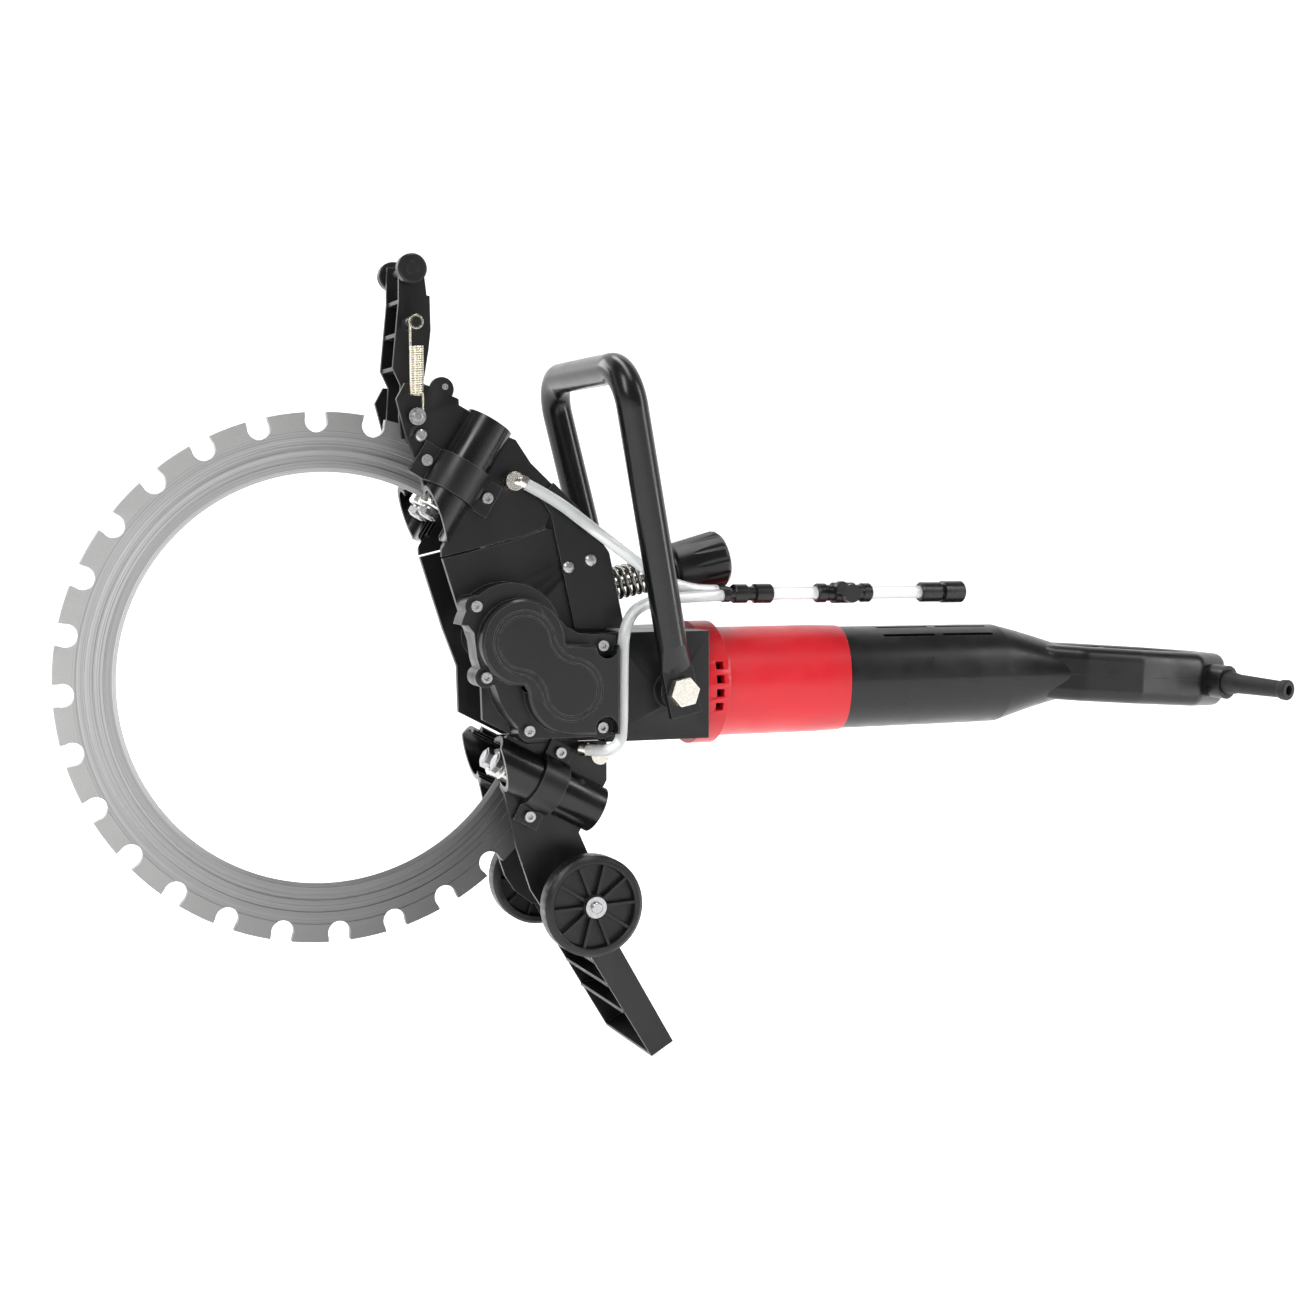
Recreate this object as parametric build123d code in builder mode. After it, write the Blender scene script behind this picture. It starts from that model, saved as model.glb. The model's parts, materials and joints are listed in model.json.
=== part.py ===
from build123d import *
import os
from math import acos, atan2, cos, degrees, hypot, pi, radians, sin, sqrt, tan

os.makedirs("parts", exist_ok=True)

# Hand-held electric ring saw. Millimetres, origin at the centre of the ring blade, ring in the XZ
# plane, +X back towards the motor and rear handle, +Z up. The near side is -Y.

# Ring blade
RING_R = 175.0
RING_INNER_R = 135.8
CORE_R = 162.9
CORE_HALF = 2.5
SEGMENT_HALF = 3.0
SEGMENTS = 28
GULLET_R = 7.6
GULLET_AT = 169.2
TRACKS = ((143.0, 147.0), (150.5, 155.0))
TRACK_HALF = 1.8

# Drive line: all shafts but the armature's run along Y
DRIVE_ANGLE = 12.0
ROLLER_GROOVE_R = 16.2
RIM_GAP = 0.3
GEAR_MODULE = 1.5
DRIVE_TEETH = 27
IDLER_TEETH = 34
LAY_TEETH = 38
IDLER_ANGLE = -44.2
BACKLASH = 0.3
GEAR_NEAR = -41.0
GEAR_WIDTH = 7.0
BEVEL_MODULE = 1.4
BEVEL_TEETH = 28
PINION_TEETH = 14
BEVEL_FACE = 7.0
MOTOR_Z = -9.5
SHAFT_R = 6.0
RUN_GAP = 0.03
BEARING_R = 14.0
BEARING_WIDTH = 8.0

# Guards and gear case
PLATE_OUT = 31.5
PLATE_IN = 28.5
BRACKET_OUT = 34.8
CASE_HALF = 44.0
CASE_FRONT = 178.5
CASE_BACK = 254.0
CASE_TOP = 29.0
CASE_BOTTOM = -44.5
CASE_WALL = 3.3
COVER_SEAT = 48.0
COVER_FLANGE = 51.5
COVER_TOP = 63.0

# Guide tubes, one above and one below on each side, pointing at the ring's centre
UPPER_ANGLE = 58.8
LOWER_ANGLE = -27.5
TUBE_Y = 35.0
TUBE_R = 16.0
TUBE_BORE = 13.2
TUBE_INNER = 114.0
TUBE_OUTER = 197.0
GUIDE_R = 10.0
GUIDE_RIM_R = 10.5
GUIDE_Y = CORE_HALF + RIM_GAP + GUIDE_R
AXLE_R = 4.0

# Motor, rear housing and handles
MOTOR_R = 38.3
FLANGE_R = 43.0
REAR_R = 36.3
MOTOR_BACK = 370.0
BACK_SWEEP = 165.0
HANDLE_START = 530.0
HANDLE_TILT = 4.0
BAIL_R = 10.5
BAIL_FOOT_Y = 60.0
BAIL_Y = 80.0
BAIL_TOP = 204.0
BAIL_FRONT = 180.5
BOLT_X = 227.0
BOLT_Z = -10.5

# Tension unit, on an axis parallel to the drive direction
TENSION_RISE = 17.3
WEB_AT = 195.2
WEB_THICK = 3.0
KNOB_AT = 252.0
KNOB_LONG = 39.0

# Wheels, arm and wedge
WHEEL = (163.0, -151.0)
WHEEL_R = 34.0
WHEEL_IN = 53.0
WHEEL_OUT = 69.0
WHEEL_SPOKES = 10
ARM_PIVOT = (56.4, 159.2)
ARM_TIP = (52.4, 267.0)
ARM_OUT = 18.2
ARM_THICK = 2.5

# Water line: hoses from a spout on each guard to a branch piece, then a straight line with a valve
HOSE_R = 4.0
LINE_START = (269.0, -26.0, 53.2)
LINE_END = (464.0, -12.0, 51.5)
LINE_TUBE_R = 4.6


def keep(piece, name):
    """Labels a finished piece and writes its STEP file."""
    piece.part.label = name
    export_step(piece.part, f"parts/{name}.step")


def side(y):
    """Plane across Y whose sketch axes are X and Z, and whose normal is -Y."""
    return Plane(origin=(0, y, 0), x_dir=(1, 0, 0), z_dir=(0, -1, 0))


def polar(radius, angle, centre=(0.0, 0.0)):
    """Point in the XZ plane at a radius and an angle from +X towards +Z."""
    return (centre[0] + radius * cos(radians(angle)), centre[1] + radius * sin(radians(angle)))


def radial(angle):
    """Unit vector in the XZ plane."""
    return (cos(radians(angle)), 0.0, sin(radians(angle)))


def turned(origin, along, outline, mode=Mode.ADD):
    """Adds a body turned about an axis, from (distance along it, radius) points."""
    across = Vector(*along).cross(Vector(0, 0, 1) if abs(along[1]) > 0.5 else Vector(0, 1, 0))
    with BuildSketch(Plane(origin=origin, x_dir=along, z_dir=across)) as section:
        with BuildLine():
            Polyline(*outline, close=True)
        make_face()
    revolve(section.sketch, axis=Axis(origin, along), mode=mode)


def rod(start, end, radius, mode=Mode.ADD):
    """Adds a round bar between two points."""
    run = Vector(*end) - Vector(*start)
    with BuildSketch(Plane(origin=start, z_dir=run)) as section:
        Circle(radius)
    extrude(section.sketch, amount=run.length, mode=mode)


def slab(outline, y_start, y_end, mode=Mode.ADD):
    """Adds a flat plate with an XZ outline between two Y values."""
    with BuildSketch(side(max(y_start, y_end))) as section:
        with BuildLine():
            Polyline(*outline, close=True)
        make_face()
    extrude(section.sketch, amount=abs(y_end - y_start), mode=mode)


def brick(low, high, mode=Mode.ADD):
    """Adds a box between two corners."""
    centre = tuple((a + b) / 2 for a, b in zip(low, high))
    with Locations(centre):
        Box(high[0] - low[0], high[1] - low[1], high[2] - low[2], mode=mode)


def opposite(piece, name):
    """Writes the far-side twin of a near-side piece."""
    with BuildPart() as twin:
        mirror(piece.part, about=Plane.XZ)
    keep(twin, name)
    return twin


# Shaft centres in the XZ plane
DRIVE = polar(RING_INNER_R - RIM_GAP - ROLLER_GROOVE_R, DRIVE_ANGLE)
IDLER = polar(GEAR_MODULE * (DRIVE_TEETH + IDLER_TEETH) / 2, IDLER_ANGLE, DRIVE)
LAY_REACH = GEAR_MODULE * (IDLER_TEETH + LAY_TEETH) / 2
LAY = (IDLER[0] + sqrt(LAY_REACH**2 - (MOTOR_Z - IDLER[1]) ** 2), MOTOR_Z)
LAY_ANGLE = degrees(atan2(LAY[1] - IDLER[1], LAY[0] - IDLER[0]))


# --- Ring blade: V inner edge, two guide tracks on each face, diamond segments at the rim ---
def ring_profile():
    """(radius, y) points of the core's section, clockwise from its inner tip."""
    half = [(RING_INNER_R, 0.9), (RING_INNER_R + 2.7, CORE_HALF)]
    for low, high in TRACKS:
        half += [(low, CORE_HALF), (low + 0.4, TRACK_HALF), (high - 0.4, TRACK_HALF), (high, CORE_HALF)]
    half.append((CORE_R + 0.5, CORE_HALF))
    return half + [(radius, -y) for radius, y in reversed(half)]


with BuildPart() as ring_blade:
    with BuildSketch(Plane.XY):
        with BuildLine():
            Polyline(*ring_profile(), close=True)
        make_face()
    revolve(axis=Axis.Y)
    with BuildSketch(side(SEGMENT_HALF)):
        Circle(RING_R)
        Circle(CORE_R, mode=Mode.SUBTRACT)
    extrude(amount=2 * SEGMENT_HALF)
    with BuildSketch(side(SEGMENT_HALF + 1)):
        with PolarLocations(GULLET_AT, SEGMENTS, start_angle=2.0):
            Circle(GULLET_R)
        with PolarLocations(GULLET_AT + 5, SEGMENTS, start_angle=2.0):
            Rectangle(10, 2 * GULLET_R - 0.6)
    extrude(amount=2 * SEGMENT_HALF + 2, mode=Mode.SUBTRACT)
keep(ring_blade, "ring_blade")


# --- Drive roller, shaft and spur gears ---
def gear_points(teeth, phase):
    """Involute spur gear outline about the origin, with a tooth centred at the phase angle."""
    pitch_r = GEAR_MODULE * teeth / 2
    base_r = pitch_r * cos(radians(20))
    tip_r = pitch_r + GEAR_MODULE
    root_r = pitch_r - 1.25 * GEAR_MODULE

    def half_angle(radius):
        flank = acos(min(1.0, base_r / radius))
        lean = tan(radians(20)) - radians(20) - (tan(flank) - flank)
        return pi / (2 * teeth) - BACKLASH / (4 * pitch_r) + lean

    start_r = max(base_r, root_r)
    radii = [start_r, pitch_r, (pitch_r + tip_r) / 2, tip_r]
    flank_points = [(root_r, half_angle(start_r))] if root_r < base_r else []
    flank_points += [(radius, half_angle(radius)) for radius in radii]
    points = []
    for tooth in range(teeth):
        middle = radians(phase) + 2 * pi * tooth / teeth
        rising = [(radius, middle - half) for radius, half in flank_points]
        falling = [(radius, middle + half) for radius, half in reversed(flank_points)]
        points += [(radius * cos(a), radius * sin(a)) for radius, a in rising + falling]
    return points


def spur_gear(centre, teeth, phase):
    """Adds a spur gear in the gear plane."""
    far_face = (centre[0], GEAR_NEAR + GEAR_WIDTH, centre[1])
    with BuildSketch(Plane(origin=far_face, x_dir=(1, 0, 0), z_dir=(0, -1, 0))) as section:
        with BuildLine():
            Polyline(*gear_points(teeth, phase), close=True)
        make_face()
    extrude(section.sketch, amount=GEAR_WIDTH)


IDLER_PHASE = IDLER_ANGLE + 180 + 180 / IDLER_TEETH
OFFSET = (LAY_ANGLE - IDLER_PHASE) % (360 / IDLER_TEETH)
LAY_PHASE = LAY_ANGLE + 180 + OFFSET * IDLER_TEETH / LAY_TEETH + 180 / LAY_TEETH
DRIVE_CENTRE = (DRIVE[0], 0, DRIVE[1])
IDLER_CENTRE = (IDLER[0], 0, IDLER[1])
LAY_CENTRE = (LAY[0], 0, LAY[1])
ALONG_Y = (0, 1, 0)

with BuildPart() as drive_roller:
    groove = [(-8, SHAFT_R), (-8, 12), (-6, 19.2), (-3.1, 19.2), (-1.3, ROLLER_GROOVE_R)]
    turned(DRIVE_CENTRE, ALONG_Y, groove + [(-y, radius) for y, radius in reversed(groove)])
keep(drive_roller, "drive_roller")

with BuildPart() as drive_shaft:
    shaft_r = SHAFT_R - RUN_GAP
    turned(DRIVE_CENTRE, ALONG_Y, [
        (-54, 0), (-54, shaft_r - 0.6), (-53.4, shaft_r), (-33.5, shaft_r), (-33.5, 8), (-28, 8),
        (-28, shaft_r), (21.5, shaft_r), (22, shaft_r - 0.5), (22, 0),
    ])
keep(drive_shaft, "drive_shaft")

with BuildPart() as drive_gear:
    spur_gear(DRIVE, DRIVE_TEETH, IDLER_ANGLE)
    rod((DRIVE[0], GEAR_NEAR - 4, DRIVE[1]), (DRIVE[0], GEAR_NEAR, DRIVE[1]), 10)
    rod((DRIVE[0], -50, DRIVE[1]), (DRIVE[0], -30, DRIVE[1]), SHAFT_R, Mode.SUBTRACT)
keep(drive_gear, "drive_gear")

with BuildPart() as idler_gear:
    spur_gear(IDLER, IDLER_TEETH, IDLER_PHASE)
    turned(IDLER_CENTRE, ALONG_Y, [
        (-54, 0), (-54, shaft_r), (-45, shaft_r), (-45, 9), (-29, 9), (-29, shaft_r), (-15.5, shaft_r),
        (-15.5, 0),
    ])
keep(idler_gear, "idler_gear")

with BuildPart() as layshaft:
    spur_gear(LAY, LAY_TEETH, LAY_PHASE)
    turned(LAY_CENTRE, ALONG_Y, [
        (GEAR_NEAR, 0), (GEAR_NEAR, 9), (-33.2, 9), (-33.2, shaft_r), (35, shaft_r), (35, 0),
    ])
keep(layshaft, "layshaft")


# --- Bevel pair: cone tips meet where the layshaft crosses the armature axis ---
def bevel_wheel(teeth, mate, outline, turn):
    """Bevel wheel about +Z with its cone tip at the origin; outline holds (z, radius) points."""
    cone = atan2(teeth, mate)
    reach = BEVEL_MODULE * hypot(teeth, mate) / 2
    middle = pi * BEVEL_MODULE / 4 * 1.22
    flare = 1.35 * BEVEL_MODULE
    lean = flare * tan(radians(20))
    with BuildPart() as gap:
        for scale_to in (0.6, 1.25):
            heel = (scale_to * reach * sin(cone), 0, scale_to * reach * cos(cone))
            with BuildSketch(Plane(origin=heel, x_dir=(0, 1, 0), z_dir=(sin(cone), 0, cos(cone)))):
                with BuildLine():
                    Polyline(
                        (-scale_to * (middle + lean), -scale_to * flare),
                        (scale_to * (middle + lean), -scale_to * flare),
                        (scale_to * (middle - lean), scale_to * flare),
                        (-scale_to * (middle - lean), scale_to * flare),
                        close=True,
                    )
                make_face()
        loft(ruled=True)
    with BuildPart() as wheel:
        turned((0, 0, 0), (0, 0, 1), outline)
        with PolarLocations(0, teeth, start_angle=turn):
            add(gap.part, mode=Mode.SUBTRACT)
    return wheel.part


def bevel_points(teeth, mate, height):
    """(z, radius) of a point on the heel's back cone and its twin at the toe."""
    cone = atan2(teeth, mate)
    reach = BEVEL_MODULE * hypot(teeth, mate) / 2
    shrink = (reach - BEVEL_FACE) / reach
    heel = (reach * cos(cone) - height * sin(cone), reach * sin(cone) + height * cos(cone))
    return heel, (heel[0] * shrink, heel[1] * shrink)


wheel_tip, wheel_toe = bevel_points(BEVEL_TEETH, PINION_TEETH, 0.85 * BEVEL_MODULE)
wheel_back, wheel_root_toe = bevel_points(BEVEL_TEETH, PINION_TEETH, -2.4 * BEVEL_MODULE)
bevel_blank = [
    wheel_toe, wheel_tip, wheel_back, (wheel_back[0] + 1, wheel_back[1]), (wheel_back[0] + 1, 11),
    (21, 11), (21, SHAFT_R), (wheel_root_toe[0], SHAFT_R), wheel_root_toe,
]
with BuildPart() as bevel_gear:
    bevel_local = bevel_wheel(BEVEL_TEETH, PINION_TEETH, bevel_blank, 180 / BEVEL_TEETH)
    lay_plane = Plane(origin=LAY_CENTRE, x_dir=(1, 0, 0), z_dir=ALONG_Y)
    add(bevel_local.moved(lay_plane.location))
keep(bevel_gear, "bevel_gear")

pinion_tip, pinion_toe = bevel_points(PINION_TEETH, BEVEL_TEETH, 0.85 * BEVEL_MODULE)
pinion_root, pinion_root_toe = bevel_points(PINION_TEETH, BEVEL_TEETH, -1.3 * BEVEL_MODULE)
pinion_blank = [
    (pinion_root_toe[0], 0), pinion_root_toe, pinion_toe, pinion_tip, pinion_root, (21.5, 8), (25, 8),
    (25, 0),
]
MOTOR_LINE = (0, 0, MOTOR_Z)
ALONG_X = (1, 0, 0)
with BuildPart() as armature_shaft:
    pinion_local = bevel_wheel(PINION_TEETH, BEVEL_TEETH, pinion_blank, 0)
    pinion_plane = Plane(origin=LAY_CENTRE, x_dir=(0, 1, 0), z_dir=ALONG_X)
    add(pinion_local.moved(pinion_plane.location))
    turned(MOTOR_LINE, ALONG_X, [
        (LAY[0] + 24, 0), (LAY[0] + 24, shaft_r), (282, shaft_r), (282, 7), (352, 7), (352, shaft_r),
        (404, shaft_r), (404, 0),
    ])
keep(armature_shaft, "armature_shaft")

with BuildPart() as armature_core:
    turned(MOTOR_LINE, ALONG_X, [
        (284, 7.02), (284, 19), (291, 22), (291, 24), (345, 24), (345, 22), (350, 19), (350, 7.02),
    ])
    with BuildSketch(Plane(origin=(290, 0, MOTOR_Z), x_dir=(0, 1, 0), z_dir=ALONG_X)):
        with PolarLocations(22.5, 12):
            Rectangle(5, 1.8)
    extrude(amount=56, mode=Mode.SUBTRACT)
keep(armature_core, "armature_core")

with BuildPart() as commutator:
    turned(MOTOR_LINE, ALONG_X, [
        (358, SHAFT_R), (358, 15.5), (361, 15.5), (361, 14), (383, 14), (383, SHAFT_R),
    ])
    with BuildSketch(Plane(origin=(361, 0, MOTOR_Z), x_dir=(0, 1, 0), z_dir=ALONG_X)):
        with PolarLocations(13.6, 24):
            Rectangle(1.4, 0.6)
    extrude(amount=23, mode=Mode.SUBTRACT)
keep(commutator, "commutator")

with BuildPart() as cooling_fan:
    turned(MOTOR_LINE, ALONG_X, [(262, SHAFT_R), (262, 33), (264, 33), (264, 11), (274, 11), (274, SHAFT_R)])
    with BuildSketch(Plane(origin=(263.5, 0, MOTOR_Z), x_dir=(0, 1, 0), z_dir=ALONG_X)):
        with PolarLocations(22, 11):
            Rectangle(21.6, 1.4, rotation=18)
    extrude(amount=9)
keep(cooling_fan, "cooling_fan")

with BuildPart() as stator:
    turned(MOTOR_LINE, ALONG_X, [(292, 25), (292, 35), (344, 35), (344, 25)])
    for low in (26.5, -32.5):
        brick((286, -12.5, MOTOR_Z + low), (350, 12.5, MOTOR_Z + low + 6))
keep(stator, "stator")

with BuildPart() as ball_bearings:
    spots = [
        ((DRIVE[0], -24.5, DRIVE[1]), ALONG_Y), ((DRIVE[0], 13.5, DRIVE[1]), ALONG_Y),
        ((DRIVE[0], -53.6, DRIVE[1]), ALONG_Y), ((IDLER[0], -53.6, IDLER[1]), ALONG_Y),
        ((IDLER[0], -24.5, IDLER[1]), ALONG_Y), ((LAY[0], -32.7, LAY[1]), ALONG_Y),
        ((LAY[0], 27, LAY[1]), ALONG_Y), ((237, 0, MOTOR_Z), ALONG_X), ((394, 0, MOTOR_Z), ALONG_X),
    ]
    for spot, along in spots:
        turned(spot, along, [
            (0, SHAFT_R), (0, 8), (0.8, 8.4), (0.8, 11.6), (0, 12), (0, BEARING_R),
            (BEARING_WIDTH, BEARING_R), (BEARING_WIDTH, 12), (7.2, 11.6), (7.2, 8.4), (BEARING_WIDTH, 8),
            (BEARING_WIDTH, SHAFT_R),
        ])
keep(ball_bearings, "ball_bearings")


# --- Gear case: two side plates round the ring, a box behind its rim, a gear chamber on the near side ---
def inclined(along, up):
    """XZ point from distances along and across the tension axis direction."""
    lean = radians(DRIVE_ANGLE)
    return (along * cos(lean) - up * sin(lean), along * sin(lean) + up * cos(lean))


COVER_SCREWS = [(87.0, 48.5), (93.5, 2.0), (122.5, -34.0), (174.0, 21.0), (173.5, -33.5)]


COVER_TAB_R = 7.0
COVER_CROWN = (111.0, 29.0)
COVER_NOTCH = [(70, 37), (82, 36), (86, 31), (88, 14), (91, 5), (70, 0)]
COVER_SKIRT = [
    (100, 40), (90, 4), (99.5, -3), (103.5, -15), (108, -23), (117, -33.5), (127, -39.7), (183.5, -39.7),
    (183.5, 27.5), (158, 29.5), (149, 34), (141, 43),
]


COVER_CAVITY = [
    (128, 44), (146, 29), (155, 24.5), (179.5, 23.5), (179.5, -35.7), (149.5, -35.7), (127, -25), (112, 5),
]


def filled(outline, mode=Mode.ADD):
    """Adds a straight-sided face to the sketch in hand."""
    with BuildLine() as border:
        Polyline(*outline, close=True)
    make_face(border.edges(), mode=mode)


def cover_outline(plane):
    """Outline of the gear cover's flange with its screw tabs."""
    with BuildSketch(plane, mode=Mode.PRIVATE) as outline:
        with Locations(COVER_CROWN):
            Circle(34.5)
        filled(COVER_NOTCH, Mode.SUBTRACT)
        filled(COVER_SKIRT)
        with Locations(*COVER_SCREWS):
            Circle(COVER_TAB_R)
    return outline.sketch


def cavity_outline(plane):
    """Outline of the gear chamber under the cover."""
    with BuildSketch(plane, mode=Mode.PRIVATE) as outline:
        with Locations(DRIVE):
            Circle(27.4)
        with Locations(IDLER):
            Circle(29.5)
        filled(COVER_CAVITY)
    return outline.sketch


MAIN_PLATE = [
    (70.5, 79), (120.5, 91), (142, 98.5), (176, 88), (183.5, 66), (187, 48), (184, 30), (184, -44.3),
    (128, -44.3), (97, -28), (96, 4), (86, 30), (79, 52),
]
with BuildPart() as gear_case:
    for lip in (-1, 1):
        slab(MAIN_PLATE, lip * PLATE_OUT, lip * (PLATE_OUT - 4))
    brick((CASE_FRONT, -CASE_HALF, CASE_BOTTOM), (CASE_BACK, CASE_HALF, CASE_TOP))
    extrude(cover_outline(side(-PLATE_OUT)), amount=COVER_SEAT - PLATE_OUT)
    extrude(cavity_outline(side(-PLATE_OUT)), amount=COVER_SEAT - PLATE_OUT, mode=Mode.SUBTRACT)
    for x, z in COVER_SCREWS:
        rod((x, 1 - PLATE_OUT, z), (x, -COVER_SEAT, z), 5.3)
    floor, roof = CASE_BOTTOM + CASE_WALL, CASE_TOP - CASE_WALL
    brick((CASE_FRONT + 3.5, -41.5, floor), (CASE_BACK - CASE_WALL, -33, roof), Mode.SUBTRACT)
    brick((CASE_FRONT + 3.5, -24, floor), (CASE_BACK - CASE_WALL, 40.5, roof), Mode.SUBTRACT)
    brick((174, -41.5, -37), (191, -32, 18), Mode.SUBTRACT)
    for x, z in (DRIVE, IDLER):
        rod((x, -15.5, z), (x, -PLATE_OUT + 3, z), 17.5)
        rod((x, -15.4, z), (x, -24.6, z), BEARING_R + 0.02, Mode.SUBTRACT)
        rod((x, -24, z), (x, -33, z), 10, Mode.SUBTRACT)
    rod((DRIVE[0], 12.5, DRIVE[1]), (DRIVE[0], PLATE_OUT - 3, DRIVE[1]), 17.5)
    rod((DRIVE[0], 12.4, DRIVE[1]), (DRIVE[0], 21.6, DRIVE[1]), BEARING_R + 0.02, Mode.SUBTRACT)
    rod((DRIVE[0], 21, DRIVE[1]), (DRIVE[0], 24, DRIVE[1]), 8, Mode.SUBTRACT)
    rod((LAY[0], -33.1, LAY[1]), (LAY[0], -24.6, LAY[1]), BEARING_R + 0.02, Mode.SUBTRACT)
    rod((LAY[0], -25, LAY[1]), (LAY[0], -23, LAY[1]), 9, Mode.SUBTRACT)
    rod((LAY[0], 26, LAY[1]), (LAY[0], 42, LAY[1]), 18)
    rod((LAY[0], 25.9, LAY[1]), (LAY[0], 35.1, LAY[1]), BEARING_R + 0.02, Mode.SUBTRACT)
    rod((236, 0, MOTOR_Z), (252, 0, MOTOR_Z), 18)
    rod((235.9, 0, MOTOR_Z), (245.1, 0, MOTOR_Z), BEARING_R + 0.02, Mode.SUBTRACT)
    rod((245, 0, MOTOR_Z), (CASE_BACK + 1, 0, MOTOR_Z), 9, Mode.SUBTRACT)
    for lip in (-1, 1):
        rod((BOLT_X, lip * (CASE_HALF - 1), BOLT_Z), (BOLT_X, lip * 57.3, BOLT_Z), 13)
        rod((BOLT_X, lip * 57.4, BOLT_Z), (BOLT_X, lip * 45, BOLT_Z), 5.02, Mode.SUBTRACT)
    lug = [inclined(184, 8), inclined(192, 8), inclined(192, 27), inclined(184, 27)]
    slab(lug, -PLATE_IN, PLATE_IN)
    bore_start = inclined(183, TENSION_RISE)
    bore_end = inclined(193, TENSION_RISE)
    rod((bore_start[0], 0, bore_start[1]), (bore_end[0], 0, bore_end[1]), 4.02, Mode.SUBTRACT)
    for x, z in COVER_SCREWS:
        rod((x, -COVER_SEAT - 1, z), (x, -38, z), 2.22, Mode.SUBTRACT)
keep(gear_case, "gear_case")


# --- Gear cover: flange, raised dome, two figure-of-eight grooves ---
def figure_eight(lobe, waist):
    """Closed outline round the two shaft centres, drawn about the point midway between them."""
    half = hypot(IDLER[0] - DRIVE[0], IDLER[1] - DRIVE[1]) / 2
    rise = sqrt((lobe + waist) ** 2 - half**2)
    meet = (half * waist / (lobe + waist), rise * lobe / (lobe + waist))
    ThreePointArc((-meet[0], meet[1]), (-half - lobe, 0), (-meet[0], -meet[1]))
    ThreePointArc((-meet[0], -meet[1]), (0, waist - rise), (meet[0], -meet[1]))
    ThreePointArc((meet[0], -meet[1]), (half + lobe, 0), (meet[0], meet[1]))
    ThreePointArc((meet[0], meet[1]), (0, rise - waist), (-meet[0], meet[1]))


def lobed_plane(y):
    """Plane midway between the drive and idler shafts, its X from one to the other."""
    middle = ((DRIVE[0] + IDLER[0]) / 2, y, (DRIVE[1] + IDLER[1]) / 2)
    return Plane(origin=middle, x_dir=(IDLER[0] - DRIVE[0], 0, IDLER[1] - DRIVE[1]), z_dir=(0, -1, 0))


def dome_outline(y, shrink):
    """Outline of the cover's raised part."""
    with BuildSketch(side(y), mode=Mode.PRIVATE) as outline:
        with Locations(DRIVE):
            Circle(28.5 - shrink)
        with Locations(IDLER):
            Circle(30 - shrink)
        with BuildLine():
            Polyline(
                (131, 44 - shrink), (147, 22), (183 - shrink, 22 - shrink), (183 - shrink, shrink - 37.5),
                (149.5, shrink - 37.1), (122, -12), (112, 5), close=True,
            )
        make_face()
    return outline.sketch


with BuildPart() as gear_cover:
    extrude(cover_outline(side(-COVER_SEAT)), amount=COVER_FLANGE - COVER_SEAT)
    extrude(dome_outline(-COVER_SEAT, 0), amount=COVER_TOP - COVER_SEAT)
    rim_edges = gear_cover.faces().sort_by(Axis.Y)[0].outer_wire().edges()
    chamfer(rim_edges, 1.5)
    extrude(dome_outline(-COVER_SEAT, 3.5), amount=COVER_TOP - COVER_SEAT - 2.5, mode=Mode.SUBTRACT)
    for x, z in COVER_SCREWS[3:]:
        rod((x, -COVER_FLANGE, z), (x, -COVER_TOP - 1, z), 8, Mode.SUBTRACT)
        rod((x, -COVER_SEAT, z), (x, -COVER_FLANGE, z), 8)
    for x, z in (DRIVE, IDLER):
        rod((x, -COVER_TOP + 2, z), (x, -45.2, z), 17)
        rod((x, -53.7, z), (x, -45.1, z), BEARING_R + 0.02, Mode.SUBTRACT)
        rod((x, -56, z), (x, -53, z), 9, Mode.SUBTRACT)
    for lobe in (17.5, 20.8):
        with BuildSketch(lobed_plane(-COVER_TOP)) as groove_band:
            with BuildLine():
                figure_eight(lobe + 0.45, 19.55)
            make_face()
            with BuildLine():
                figure_eight(lobe - 0.45, 20.45)
            make_face(mode=Mode.SUBTRACT)
        extrude(amount=-0.7, mode=Mode.SUBTRACT)
    for x, z in COVER_SCREWS:
        rod((x, -COVER_FLANGE - 1, z), (x, -COVER_SEAT + 1, z), 2.6, Mode.SUBTRACT)
keep(gear_cover, "gear_cover")


# --- Upper and lower guards, each cast with a cradle for its guide tube ---
def tube_point(angle, along, across):
    """XZ point from a distance along a guide tube and a distance across it."""
    x, z = polar(along, angle)
    return (x + across * sin(radians(angle)), z - across * cos(radians(angle)))


def tube_box(angle, start, end, half):
    """XZ corners of a strip along a guide tube."""
    return [
        tube_point(angle, start, -half), tube_point(angle, end, -half),
        tube_point(angle, end, half), tube_point(angle, start, half),
    ]


def tube_rod(angle, start, end, radius, mode=Mode.ADD):
    """Adds a near-side bar on a guide tube's axis."""
    first, last = polar(start, angle), polar(end, angle)
    rod((first[0], -TUBE_Y, first[1]), (last[0], -TUBE_Y, last[1]), radius, mode)


CLAMP_SPAN = {UPPER_ANGLE: (141.5, 164.5), LOWER_ANGLE: (147.5, 165.5)}
CLAMP_SCREW = 23.7


def clamp_screw_spots(angle):
    """XZ centres of a clamp's two screws."""
    middle = sum(CLAMP_SPAN[angle]) / 2
    return [tube_point(angle, middle, across) for across in (-CLAMP_SCREW, CLAMP_SCREW)]


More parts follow.
